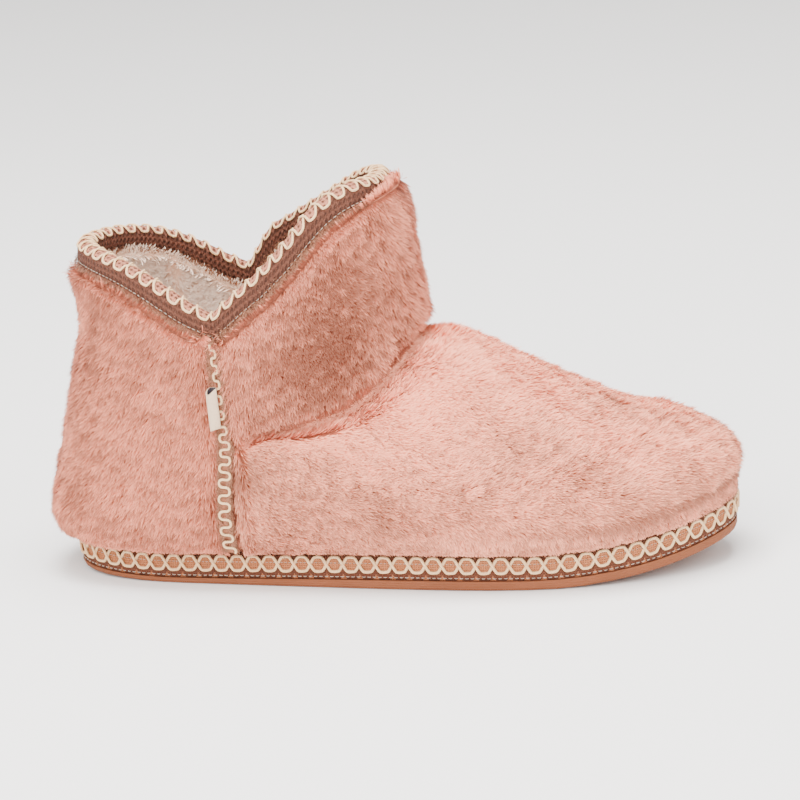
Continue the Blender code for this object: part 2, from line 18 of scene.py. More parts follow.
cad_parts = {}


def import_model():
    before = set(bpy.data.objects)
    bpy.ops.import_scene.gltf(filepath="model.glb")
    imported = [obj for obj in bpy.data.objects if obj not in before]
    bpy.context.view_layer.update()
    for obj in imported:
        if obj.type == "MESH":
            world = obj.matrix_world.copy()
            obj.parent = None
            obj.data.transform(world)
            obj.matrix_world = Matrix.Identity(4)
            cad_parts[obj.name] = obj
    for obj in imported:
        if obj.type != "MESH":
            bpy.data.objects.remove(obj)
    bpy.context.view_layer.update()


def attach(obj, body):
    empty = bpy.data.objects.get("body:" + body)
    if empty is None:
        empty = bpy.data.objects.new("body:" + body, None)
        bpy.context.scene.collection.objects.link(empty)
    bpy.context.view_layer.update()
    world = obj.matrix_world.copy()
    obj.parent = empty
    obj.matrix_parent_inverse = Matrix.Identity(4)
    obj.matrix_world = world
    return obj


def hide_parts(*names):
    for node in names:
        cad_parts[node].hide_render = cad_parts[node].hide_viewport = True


LOG = logging.getLogger("slipper")
BODY = "root"
MM = 0.001
BAKE_MAP = "OFBake"
STRAND_MAP = "Strand"
TAPE_MAP = "Tape"
SINES = 9
HASH = np.array([[12.9898, 39.3460, 73.1560], [78.2330, 11.1350, 52.2350], [37.7190, 83.1550, 9.1510]])
FACES_A_PIECE = 180000

Triple = tuple[float, float, float]
Colour = Triple
Array = np.ndarray
Three = tuple[Array, Array, Array]
Socket = bpy.types.NodeSocket
Material = bpy.types.Material


def linear(red: int, green: int, blue: int) -> Colour:
    """Scene-linear colour of an 8-bit sRGB one: ((c + 0.055) / 1.055) ** 2.4, c from 0 to 1.

    Args:
        red: Red, 0 to 255.
        green: Green, 0 to 255.
        blue: Blue, 0 to 255.

    Returns:
        The three linear values.
    """
    values = (np.array([red, green, blue]) / 255 + 0.055) / 1.055
    return tuple(float(v) for v in values**2.4)


def step(x: Array) -> Array:
    """Smooth step from 0 to 1: x * x * (3 - 2 x), x held between 0 and 1."""
    x = np.clip(x, 0.0, 1.0)
    return x * x * (3 - 2 * x)


def smooth(x: Array, xs: tuple[float, ...], ys: tuple[float, ...]) -> Array:
    """Cubic through points, with the slope at each the mean of its two neighbours'.

    Args:
        x: Where to read the curve.
        xs: The points' places, rising.
        ys: The points' values.

    Returns:
        The curve's values at x.
    """
    x, xs, ys = np.asarray(x, float), np.asarray(xs, float), np.asarray(ys, float)
    slopes = np.gradient(ys, xs)
    k = np.clip(np.searchsorted(xs, x, side="right") - 1, 0, len(xs) - 2)
    width = xs[k + 1] - xs[k]
    s = np.clip((x - xs[k]) / width, 0.0, 1.0)
    start = (1 + 2 * s) * (1 - s) ** 2 * ys[k] + s * (1 - s) ** 2 * width * slopes[k]
    end = s**2 * (3 - 2 * s) * ys[k + 1] + s**2 * (s - 1) * width * slopes[k + 1]
    return start + end


def unit(vectors: Array) -> Array:
    """Vectors divided by their own length."""
    return vectors / np.maximum(np.linalg.norm(vectors, axis=-1, keepdims=True), 1e-12)


def waves(points: Array, size: float, seed: int) -> Array:
    """Soft noise of about -1 to 1: a sum of sines along random directions, about size apart.

    Args:
        points: Places, as (n, 3).
        size: Typical distance between two crests, in metres.
        seed: Seed of the directions.

    Returns:
        One value per place.
    """
    rng = np.random.default_rng(seed)
    ways = unit(rng.normal(size=(SINES, 3))) * (2 * np.pi / size) * rng.uniform(0.6, 1.5, (SINES, 1))
    added = np.sin(points @ ways.T + rng.uniform(0, 2 * np.pi, SINES)).sum(axis=1)
    return added / np.sqrt(0.5 * SINES) / 1.6


def bell(x: Array, middle: float, reach: float) -> Array:
    """Bell curve of height 1: exp(-((x - middle) / reach) ** 2)."""
    return np.exp(-(((x - middle) / reach) ** 2))


def way_along(line: Array) -> Array:
    """Way reached at each point of a line, (n, 3): the sum of the distances before it, from 0."""
    return np.concatenate([[0.0], np.cumsum(np.linalg.norm(np.diff(line, axis=0), axis=1))])


def quad_map(across: Array, upwards: Array) -> Array:
    """Map places of a grid's quads, in grid_faces' order of corners.

    Args:
        across: First number at each column and once more at the end of the last, (columns + 1).
        upwards: Second number at each row and at the next one up, (rows, 2).

    Returns:
        Places, (corners, 2).
    """
    left, right = across[None, :-1] + 0 * upwards[:, :1], across[None, 1:] + 0 * upwards[:, :1]
    low, high = upwards[:, :1] + 0 * left, upwards[:, 1:] + 0 * left
    u = np.stack([left, right, right, left], axis=2)
    v = np.stack([low, low, high, high], axis=2)
    return np.stack([u, v], axis=3).reshape(-1, 2)


def cell_random(cells: Array, seed: int) -> Array:
    """Random numbers of 0 to 1 that belong to whole-number cells: the fraction of a large sine.

    Args:
        cells: Cell numbers, as (n, 3).
        seed: Seed.

    Returns:
        Three numbers per cell, as (n, 3).
    """
    return np.mod(np.sin(cells @ HASH + 0.37 * seed) * 43758.5453, 1.0)


def nearest_lock(points: Array, seed: int) -> tuple[Array, Array]:
    """Vector to the nearest of the random lock centres, one in each unit cell, and its number.

    Args:
        points: Places in units of a lock's size, as (n, 3).
        seed: Seed.

    Returns:
        The vectors as (n, 3), and a random number of 0 to 1 of each place's lock.
    """
    home = np.floor(points)
    best = np.full(len(points), np.inf)
    way = np.zeros_like(points)
    mark = np.zeros(len(points))
    for shift in np.stack(np.meshgrid(*[[-1, 0, 1]] * 3, indexing="ij"), -1).reshape(-1, 3):
        cells = home + shift
        chance = cell_random(cells, seed)
        to = cells + chance - points
        far = (to**2).sum(axis=1)
        closer = far < best
        best = np.where(closer, far, best)
        way[closer] = to[closer]
        mark[closer] = chance[closer, 0]
    return way, mark


@dataclass(frozen=True)
class Columns:
    """Places round the shoe: place runs 0 to 1 from the back centre by the outer side and back."""

    place: Array

    @classmethod
    def even(cls, count: int) -> Columns:
        """Evenly spaced columns of a closed ring."""
        return cls(np.arange(count) / count)

    @property
    def round(self) -> Array:
        """0 at the back centre, 0.5 at the side seams and 1 at the toe."""
        return 1 - np.abs(1 - 2 * self.place)

    @property
    def side(self) -> Array:
        """-1 on the outer side, +1 on the inner side and 0 at the two ends."""
        inner = np.where(self.place > 0.5, 1.0, -1.0)
        return np.where((self.place == 0.0) | (self.place == 0.5), 0.0, inner)

    @property
    def share(self) -> Array:
        """Share of the way from a side seam (0) to the back centre (-1) or to the toe (+1)."""
        return np.sin(np.pi * (self.round - 0.5))

    @property
    def front(self) -> Array:
        """True ahead of the side seams."""
        return self.share >= 0.0

    @property
    def forward(self) -> Array:
        """0 at the side seams and behind them, 1 at the toe."""
        return np.clip(2 * self.round - 1, 0.0, 1.0)

    @property
    def behind(self) -> Array:
        """0 at the side seams and ahead of them, 1 at the back centre."""
        return np.clip(-self.share, 0.0, 1.0)


@dataclass(frozen=True)
class SlipperForm:
    """The slipper's shape: sizes in metres, tables of shares, and the rings worked out from them."""

    sole_length: float = 0.256
    ball_width: float = 0.091
    toe_spring: float = 0.0115
    spring_start: float = 0.052
    heel_spring: float = 0.0018
    heel_spring_start: float = 0.085
    outsole_thickness: float = 0.0052
    rim_height: float = 0.0038
    heel_rim_height: float = 0.0020
    tape_thickness: float = 0.0018
    sole_tape_height: float = 0.0100
    insole_thickness: float = 0.0050
    seam_behind: float = 0.0605
    notch_behind: float = 0.0630
    ankle_width: float = 0.0935
    instep_height: float = 0.0945
    instep_forward: float = 0.0126
    ankle_seam_height: float = 0.057
    heel_roll_height: float = 0.0205
    heel_overhang: float = 0.0105
    heel_back_height: float = 0.064
    collar_width: float = 0.085
    collar_front: float = -0.0040
    collar_back: float = -0.1178
    collar_back_height: float = 0.1280
    collar_notch_height: float = 0.1065
    collar_front_height: float = 0.1508
    collar_wall: float = 0.0030
    collar_lean: float = 0.35
    collar_tape_outside: float = 0.0058
    collar_tape_inside: float = 0.0064
    collar_tape_bend: float = 0.0014
    fur_lip: float = 0.0022
    front_fur_lip: float = 0.0062
    fur_over_tape: float = 0.0068
    lining_lip: float = 0.0009
    wall: float = 0.0090
    foot_wall: float = 0.0050
    seam_tape_width: float = 0.0052
    seam_tape_thickness: float = 0.0016
    seam_trough: float = 0.0030
    seam_shoulder: float = 0.0042
    ankle_groove: float = 0.0032
    foot_swell: float = 0.0025
    puff: float = 0.0015
    clearance: float = 0.0003
    shaft_fullness: float = 2.35
    collar_back_fullness: float = 1.8
    toe_fullness: float = 2.4
    front_fade: float = 0.10

    SOLE_OUTLINE = {
        "along": (-0.50, -0.38, -0.30, -0.145, 0.00, 0.16, 0.25, 0.31, 0.38, 0.43, 0.50),
        "outer": (0.96, 0.87, 0.83, 0.85, 0.93, 1.02, 1.05, 1.05, 1.04, 1.00, 0.90),
        "inner": (0.96, 0.86, 0.78, 0.70, 0.76, 0.98, 1.06, 1.10, 1.15, 1.18, 1.16),
    }
    OVERHANG = {
        "along": (-0.50, -0.25, 0.00, 0.20, 0.38, 0.50),
        "outer": (1.00, 1.05, 0.78, 0.62, 0.48, 0.06),
        "inner": (1.00, 1.15, 1.20, 0.62, 0.36, 0.06),
    }
    ROLL_UNDER = {"outward": (0.42, 0.80), "rise": (0.00, 0.28)}
    FOOT_RINGS = {
        "toe_inward": (0.000, 0.010, 0.045, 0.115, 0.225, 0.350, 0.500, 0.660, 0.800, 0.915),
        "toe_rise": (0.030, 0.120, 0.215, 0.305, 0.395, 0.460, 0.575, 0.715, 0.850, 0.940),
        "side_inward": (0.000, 0.020, 0.060, 0.130, 0.240, 0.370, 0.520, 0.680, 0.820, 0.920),
        "side_rise": (0.040, 0.170, 0.310, 0.450, 0.580, 0.690, 0.790, 0.870, 0.930, 0.970),
        "swell": (0.30, 0.80, 1.00, 0.90, 0.70, 0.45, 0.32, 0.20, 0.10, 0.05),
    }
    HEEL_LINE = {
        "height": (0.14, 0.20, 0.30, 0.42, 0.52, 0.65, 0.78, 0.90, 1.00),
        "outward": (0.90, 1.00, 0.78, 0.36, 0.12, -0.16, -0.26, -0.16, -0.50),
    }
    EDGE_RISES = {
        "along": (0.00, 0.16, 0.32, 0.48, 0.64, 0.80, 0.92, 1.00),
        "ankle_front": (0.000, 0.150, 0.190, 0.260, 0.380, 0.600, 0.850, 1.000),
        "collar_front_outer": (0.000, 0.185, 0.365, 0.580, 0.830, 0.980, 1.020, 1.000),
        "collar_front_inner": (0.000, 0.320, 0.460, 0.590, 0.725, 0.865, 0.950, 1.000),
        "collar_back": (0.000, 0.200, 0.450, 0.680, 0.850, 0.950, 0.990, 1.000),
        "heel_back": (0.000, 0.100, 0.280, 0.480, 0.680, 0.860, 0.970, 1.000),
    }
    SHAFT_RINGS = {
        "share": (0.07, 0.22, 0.42, 0.62, 0.80, 0.93),
        "swell": (0.70, 1.00, 0.80, 0.75, 0.95, 0.60),
    }
    CREASES = (
        {"place": 0.00, "ring": 14.2, "reach": 0.20, "rings": 1.1, "depth": 0.0030},
        {"place": 0.17, "ring": 14.8, "reach": 0.09, "rings": 0.8, "depth": 0.0012},
        {"place": 0.84, "ring": 6.4, "reach": 0.18, "rings": 0.45, "depth": 0.0010},
        {"place": 0.93, "ring": 5.0, "reach": 0.16, "rings": 0.40, "depth": 0.0009},
    )

    INNER_RINGS = (5, 3, 1, 0, -2, -4, -6, -8)

    @property
    def ankle_row(self) -> int:
        """Row of the fur's grid that holds the seam between vamp and shaft."""
        return len(self.FOOT_RINGS["toe_rise"])

    def by_side(self, table: dict[str, tuple[float, ...]], columns: Columns, along: Array) -> Array:
        """Values of a table's outer and inner columns, one per column of a ring.

        Args:
            table: Rows along, outer and inner.
            columns: The ring's columns.
            along: Place of each along the sole, as a share of its length.

        Returns:
            The outer or the inner value by side, and their mean at the two ends.
        """
        outer = smooth(along, table["along"], table["outer"])
        inner = smooth(along, table["along"], table["inner"])
        side = columns.side
        return np.where(side > 0, inner, np.where(side < 0, outer, 0.5 * (inner + outer)))

    @staticmethod
    def plan_normals(plan: Array) -> Array:
        """Outward normals of a closed ring seen from above: its tangent turned by a right angle."""
        along = unit(unit(np.roll(plan, -1, axis=0) - plan) + unit(plan - np.roll(plan, 1, axis=0)))
        return np.stack([along[:, 1], -along[:, 0]], axis=1)

    def sole_plan(self, columns: Columns, outset: Array | float = 0.0) -> Array:
        """Outline of the sole seen from above: a table's half-widths times a superellipse's rounding.

        Args:
            columns: Where round the shoe.
            outset: Distance outwards from the outline.

        Returns:
            Points as (columns, 2).
        """
        half, seam, share = 0.5 * self.sole_length, -self.seam_behind, columns.share
        x = np.where(columns.front, seam + (half - seam) * share, seam + (half + seam) * share)
        rounding = np.clip(1 - np.abs(x / half) ** self.toe_fullness, 0, 1) ** (1 / self.toe_fullness)
        width = self.by_side(self.SOLE_OUTLINE, columns, x / self.sole_length)
        plan = np.stack([x, columns.side * 0.5 * self.ball_width * width * rounding], axis=1)
        return plan + self.plan_normals(plan) * np.reshape(outset, (-1, 1))

    def round_plan(self, columns: Columns, ends: Triple, width: float, back_fullness: float) -> Array:
        """Ring seen from above whose widest place is at the side seams: a superellipse in two halves.

        Args:
            columns: Where round the shoe.
            ends: Places along the shoe of the back, the side seams and the front.
            width: Width at the side seams.
            back_fullness: Exponent of the back half.

        Returns:
            Points as (columns, 2).
        """
        back, seam, front = ends
        share = columns.share
        x = np.where(columns.front, seam + (front - seam) * share, seam + (seam - back) * share)
        fullness = np.where(columns.front, self.shaft_fullness, back_fullness)
        across = (1 - np.abs(share) ** fullness) ** (1 / fullness)
        return np.stack([x, columns.side * 0.5 * width * across], axis=1)

    def edge_heights(
        self, columns: Columns, lowest: float, ends: tuple[float, float], rises: tuple[str, str, str]
    ) -> Array:
        """Heights of a ring lowest at the side seams, from the tables of rises.

        Args:
            columns: Where round the shoe.
            lowest: Height at the side seams.
            ends: Heights at the back and at the front.
            rises: Names of the rises at the back, at the outer front and at the inner front.

        Returns:
            One height per column.
        """
        share, along = np.abs(columns.share), self.EDGE_RISES["along"]
        back, outer, inner = (smooth(share, along, self.EDGE_RISES[name]) for name in rises)
        front = np.where(columns.side > 0, inner, outer)
        return lowest + np.where(columns.front, (ends[1] - lowest) * front, (ends[0] - lowest) * back)

    def rim(self, columns: Columns) -> Array:
        """Height of the outsole's bare side, by a smooth step from the heel's to the forefoot's."""
        ahead = step((self.sole_plan(columns)[:, 0] / self.sole_length + 0.45) / 0.5)
        return self.heel_rim_height + (self.rim_height - self.heel_rim_height) * ahead

    def on_sole(self, columns: Columns, outset: Array | float, height: Array | float) -> Array:
        """Ring along the sole's outline at a height over the underside, whose ends lift by squares.

        Args:
            columns: Where round the shoe.
            outset: Distance outwards from the outline.
            height: Height over the underside.

        Returns:
            Points as (columns, 3).
        """
        x, half = self.sole_plan(columns)[:, 0], 0.5 * self.sole_length
        toe = np.clip((x - self.spring_start) / (half - self.spring_start), 0, None)
        heel = np.clip((-x - self.heel_spring_start) / (half - self.heel_spring_start), 0, None)
        lift = self.toe_spring * toe**2 + self.heel_spring * heel**2
        return np.column_stack([self.sole_plan(columns, outset), lift + height])

    def tape_top(self, columns: Columns) -> Array:
        """Height of the sole tape's upper edge over the sole's underside."""
        return self.rim(columns) + self.sole_tape_height

    def overhang(self, columns: Columns) -> Array:
        """How far the fur stands out past the sole, one value per column."""
        along = self.sole_plan(columns)[:, 0] / self.sole_length
        return self.heel_overhang * self.by_side(self.OVERHANG, columns, along)

    def heel_line(self, height: float) -> float:
        """Place along the shoe of the back centre line at a height."""
        outward = smooth(height / self.collar_back_height, *self.HEEL_LINE.values())
        return -0.5 * self.sole_length - self.heel_overhang * float(outward)

    def ankle_ring(self, columns: Columns) -> Array:
        """Seam between vamp and shaft at the front, and its level round the heel.

        Args:
            columns: Where round the shoe.

        Returns:
            Points as (columns, 3).
        """
        along = (self.heel_line(self.heel_back_height), -self.seam_behind, self.instep_forward)
        plan = self.round_plan(columns, along, self.ankle_width, self.shaft_fullness)
        ends = (self.heel_back_height, self.instep_height)
        rises = ("heel_back", "ankle_front", "ankle_front")
        return np.column_stack([plan, self.edge_heights(columns, self.ankle_seam_height, ends, rises)])

    def collar_edge(self, columns: Columns) -> Array:
        """Middle of the wall's top edge, under the folded tape.

        Args:
            columns: Where round the shoe.

        Returns:
            Points as (columns, 3).
        """
        along = (self.collar_back, -self.notch_behind, self.collar_front)
        plan = self.round_plan(columns, along, self.collar_width, self.collar_back_fullness)
        ends = (self.collar_back_height, self.collar_front_height)
        rises = ("collar_back", "collar_front_outer", "collar_front_inner")
        return np.column_stack([plan, self.edge_heights(columns, self.collar_notch_height, ends, rises)])

    def at_collar(self, columns: Columns, outset: Array | float, drop: Array | float) -> Array:
        """Ring beside the collar's edge, on a line between upright and the way to the ankle.

        Args:
            columns: Where round the shoe.
            outset: Distance outwards from the middle of the wall.
            drop: Distance down from the edge, lengthened where the edge slopes.

        Returns:
            Points as (columns, 3).
        """
        edge = self.collar_edge(columns)
        down = self.collar_lean * unit(self.ankle_ring(columns) - edge)
        down = unit(down - (1 - self.collar_lean) * np.array([0.0, 0.0, 1.0]))
        run = np.roll(edge, -1, axis=0) - np.roll(edge, 1, axis=0)
        slant = np.clip(np.hypot(1.0, run[:, 2] / np.linalg.norm(run[:, :2], axis=1)), 1.0, 1.35)
        ring = edge + down * np.reshape(drop * slant, (-1, 1))
        ring[:, :2] += self.plan_normals(edge[:, :2]) * np.reshape(outset, (-1, 1))
        return ring

    def heel_shaped(self, columns: Columns, ring: Array) -> Array:
        """The ring with its back drawn to the heel's centre line, less by squares towards the seams."""
        drawn = (self.heel_line(float(ring[0, 2])) - ring[0, 0]) * columns.behind**2
        return ring + drawn[:, None] * (1.0, 0.0, 0.0)

    def at_front(self, columns: Columns) -> Array:
        """Share by which a column lies in the shaft's front."""
        return step((columns.forward - 0.55) / 0.40)

    def fur_end(self, columns: Columns, lip: Array | float | None = None) -> Array:
        """Upper end of the fur below the collar's tape, risen over it at the front.

        Args:
            columns: Where round the shoe.
            lip: How far it stands out past the tape; without one it is the fur's own, more at the front.

        Returns:
            Points as (columns, 3).
        """
        front = self.at_front(columns)
        if lip is None:
            lip = self.fur_lip + (self.front_fur_lip - self.fur_lip) * front
        drop = self.collar_tape_outside + 4 * self.clearance - self.fur_over_tape * front
        return self.at_collar(columns, 0.5 * self.collar_wall + self.tape_thickness + lip, drop)

    def fur_rows(self, columns: Columns) -> Array:
        """Rings of the fur from the roll over the sole to the collar's tape, with their creases.

        A foot ring lies a share of the way from the roll to the ankle seam, a shaft ring a share of the
        way from there to the collar, and every crease is a bell-shaped dent along the normals.

        Args:
            columns: Where round the shoe.

        Returns:
            Points as (rows, columns, 3).
        """
        roll = self.heel_roll_height - self.heel_rim_height + self.rim(columns)
        low = self.on_sole(columns, self.overhang(columns), roll)
        ankle, high = self.ankle_ring(columns), self.fur_end(columns)
        ahead = step(2 * columns.forward)[:, None]
        count = len(columns.place)
        level = np.column_stack([self.plan_normals(low[:, :2]), np.zeros(count)])
        rings = []
        for toe_in, toe_up, side_in, side_up, swell in zip(*self.FOOT_RINGS.values()):
            inward = side_in * (1 - ahead) + toe_in * ahead
            rise = side_up * (1 - ahead) + toe_up * ahead
            share = np.concatenate([inward, inward, rise], axis=1)
            swelling = level * self.foot_swell * swell
            rings.append(self.heel_shaped(columns, low + (ankle - low) * share + swelling))
        rings.append(ankle)
        level = np.column_stack([self.plan_normals(ankle[:, :2]), np.zeros(count)])
        puff = self.puff * step(columns.forward / self.front_fade)[:, None]
        for share, swell in zip(*self.SHAFT_RINGS.values()):
            rings.append(self.heel_shaped(columns, ankle + (high - ankle) * share + level * puff * swell))
        rings.append(high)
        grid = np.array(rings)
        rows = np.arange(len(grid))[:, None]
        depth = np.zeros(grid.shape[:2])
        for crease in self.CREASES:
            across = bell(columns.round[None, :], crease["place"], crease["reach"])
            depth += crease["depth"] * across * bell(rows, crease["ring"], crease["rings"])
        depth[self.ankle_row] += self.ankle_groove * step(columns.forward / self.front_fade)
        return grid - Surface(grid).normals * depth[:, :, None]

    def seam_distance(self, columns: Columns) -> Array:
        """Distance from the nearer side seam, measured along the sole."""
        half, seam = 0.5 * self.sole_length, self.seam_behind
        return np.abs(columns.share) * np.where(columns.front, half + seam, half - seam)

    def trough(self, columns: Columns) -> Array:
        """Depth of the trough along each side seam: flat under the tape, rising over the shoulder."""
        past = self.seam_distance(columns) - (0.5 * self.seam_tape_width + self.clearance)
        return self.seam_trough * np.clip(1 - past / self.seam_shoulder, 0, 1)

    def outside(self, columns: Columns) -> Array:
        """Outside of the fur, from under its roll at the sole to its ledge by the collar's tape.

        Args:
            columns: Where round the shoe.

        Returns:
            Points as (rows, columns, 3), climbing.
        """
        trough = self.trough(columns)
        fur = self.fur_rows(columns)
        fur = fur - Surface(fur).normals * trough[:, None]
        low = self.tape_top(columns) + 4 * self.clearance
        roll = self.heel_roll_height - self.heel_rim_height - self.sole_tape_height
        over, shares = self.overhang(columns), self.ROLL_UNDER
        rows = [
            self.on_sole(columns, shares["outward"][0] * over - 0.5 * trough, low),
            self.on_sole(columns, shares["outward"][1] * over - trough, low + shares["rise"][1] * roll),
        ]
        return np.array([*rows, *fur, self.fur_end(columns, 2 * self.clearance)])

    def inside(self, columns: Columns) -> Array:
        """Inside of the upper from the collar's tape down to the insole.

        Args:
            columns: Where round the shoe.

        Returns:
            Points as (rows, columns, 3), going down.
        """
        fur = self.fur_rows(columns)
        bare = fur - Surface(fur).evened(4) * self.wall
        inset = -(self.tape_thickness + 2 * self.clearance + self.foot_wall)
        lining = -0.5 * self.collar_wall - self.tape_thickness - self.lining_lip
        under = self.collar_tape_inside + 6 * self.clearance
        rows = [self.at_collar(columns, share * lining, under) for share in (0.80, 1.0)]
        rows += [bare[self.ankle_row + k] for k in self.INNER_RINGS]
        rows += [self.on_sole(columns, inset, self.outsole_thickness + self.insole_thickness)]
        return np.array(rows)


@dataclass
class Surface:
    """A closed-round grid of points, (rows, columns, 3), whose rows climb the outside of the shoe."""

    points: Array

    @property
    def normals(self) -> Array:
        """Unit normals: the way round crossed with the way up."""
        around = np.roll(self.points, -1, axis=1) - np.roll(self.points, 1, axis=1)
        return unit(np.cross(around, np.gradient(self.points, axis=0)))

    def evened(self, times: int) -> Array:
        """Normals averaged with their neighbours'.

        Args:
            times: How often they are averaged.

        Returns:
            Unit normals, (rows, columns, 3).
        """
        normals = self.normals
        for _ in range(times):
            normals = normals + 0.5 * (np.roll(normals, 1, axis=1) + np.roll(normals, -1, axis=1))
            padded = np.concatenate([normals[:1], normals, normals[-1:]])
            normals = unit(normals + 0.5 * (padded[:-2] + padded[2:]))
        return normals

    def refined(self, rows: int) -> Surface:
        """The same surface with another number of rows, by a Catmull-Rom curve up each column.

        Args:
            rows: How many rows it gets.

        Returns:
            The new surface.
        """
        last = len(self.points) - 1
        at = np.linspace(0, last, rows)
        k = np.clip(at.astype(int), 0, last - 1)
        t = (at - k)[:, None, None]
        before, after = self.points[np.maximum(k - 1, 0)], self.points[np.minimum(k + 2, last)]
        a, b = self.points[k], self.points[k + 1]
        bend = 2 * before - 5 * a + 4 * b - after
        made = 0.5 * (2 * a + (b - before) * t + bend * t**2 + (3 * a - before - 3 * b + after) * t**3)
        return Surface(made)

    @staticmethod
    def between(grid: Array, row: Array, column: Array, up: Array, aside: Array) -> Array:
        """Values between a cell's four corners: first along its two rows, then from one to the other.

        Args:
            grid: Values, (rows, columns, 3), closed round its columns.
            row: The cells' lower rows.
            column: Their first columns.
            up: Shares of the way to the next row, with a last axis of 1.
            aside: Shares of the way to the next column, the same.

        Returns:
            One value per cell, with a last axis of 3.
        """
        following = (column + 1) % grid.shape[1]
        low = grid[row, column] * (1 - aside) + grid[row, following] * aside
        high = grid[row + 1, column] * (1 - aside) + grid[row + 1, following] * aside
        return low * (1 - up) + high * up


@dataclass
class Roots:
    """Places where strands grow: points, outward normals, row and column shares, all of one length."""

    points: Array
    normals: Array
    up: Array
    row: Array
    place: Array

    @classmethod
    def scattered(cls, surface: Surface, weight: Array, count: int, rng: np.random.Generator) -> Roots:
        """Random places on a surface: cells are drawn by area times weight, then a place within each.

        Args:
            surface: The surface.
            weight: Wanted thickness of growth, (rows, columns), from 0 to 1.
            count: Number of places.
            rng: Source of the random numbers.

        Returns:
            The places.
        """
        points, normals = surface.points, surface.normals
        right, above = np.roll(points, -1, axis=1), points[1:]
        area = np.linalg.norm(np.cross(right[:-1] - points[:-1], above - points[:-1]), axis=2)
        chance = (area * weight[:-1]).ravel()
        cell = np.searchsorted(np.cumsum(chance) / chance.sum(), rng.random(count))
        cell = np.minimum(cell, chance.size - 1)
        rows, columns = points.shape[:2]
        r, c = cell // columns, cell % columns
        s, t = rng.random((count, 1)), rng.random((count, 1))
        grids = (points, normals, np.gradient(points, axis=0))
        made, out, up = (Surface.between(grid, r, c, t, s) for grid in grids)
        return cls(made, unit(out), unit(up), (r + t[:, 0]) / (rows - 1), (c + s[:, 0]) / columns)


@dataclass(frozen=True)
class StrandStyle:
    """How a kind of hair grows: lengths in metres, then shares and the seed.

    A hair is as high as height and lies as far as lay, and locks are lock_along by lock_across. Gather
    is the share of the way to its lock's middle line that a hair leans, stray and uneven spread its
    direction and size, curl throws its tip about, and soft is the skin's share in its shading.
    """

    height: float
    lay: float
    width: float
    lock_along: float
    lock_across: float
    gather: float
    stray: float
    seed: int
    uneven: float = 0.15
    curl: float = 0.0
    soft: float = 0.72
    lock_tone: float = 0.28
    hair_tone: float = 0.12


@dataclass
class Growth:
    """A mesh of hairs, three points and one triangle each, with chart places and shading normals."""

    points: Array
    faces: Array
    chart: Array
    normals: Array

    def part(self, first: int, last: int) -> "Growth":
        """The hairs from number first up to number last, the last left out."""
        some, faces = slice(3 * first, 3 * last), self.faces[first:last] - 3 * first
        return Growth(self.points[some], faces, self.chart[some], self.normals[some])


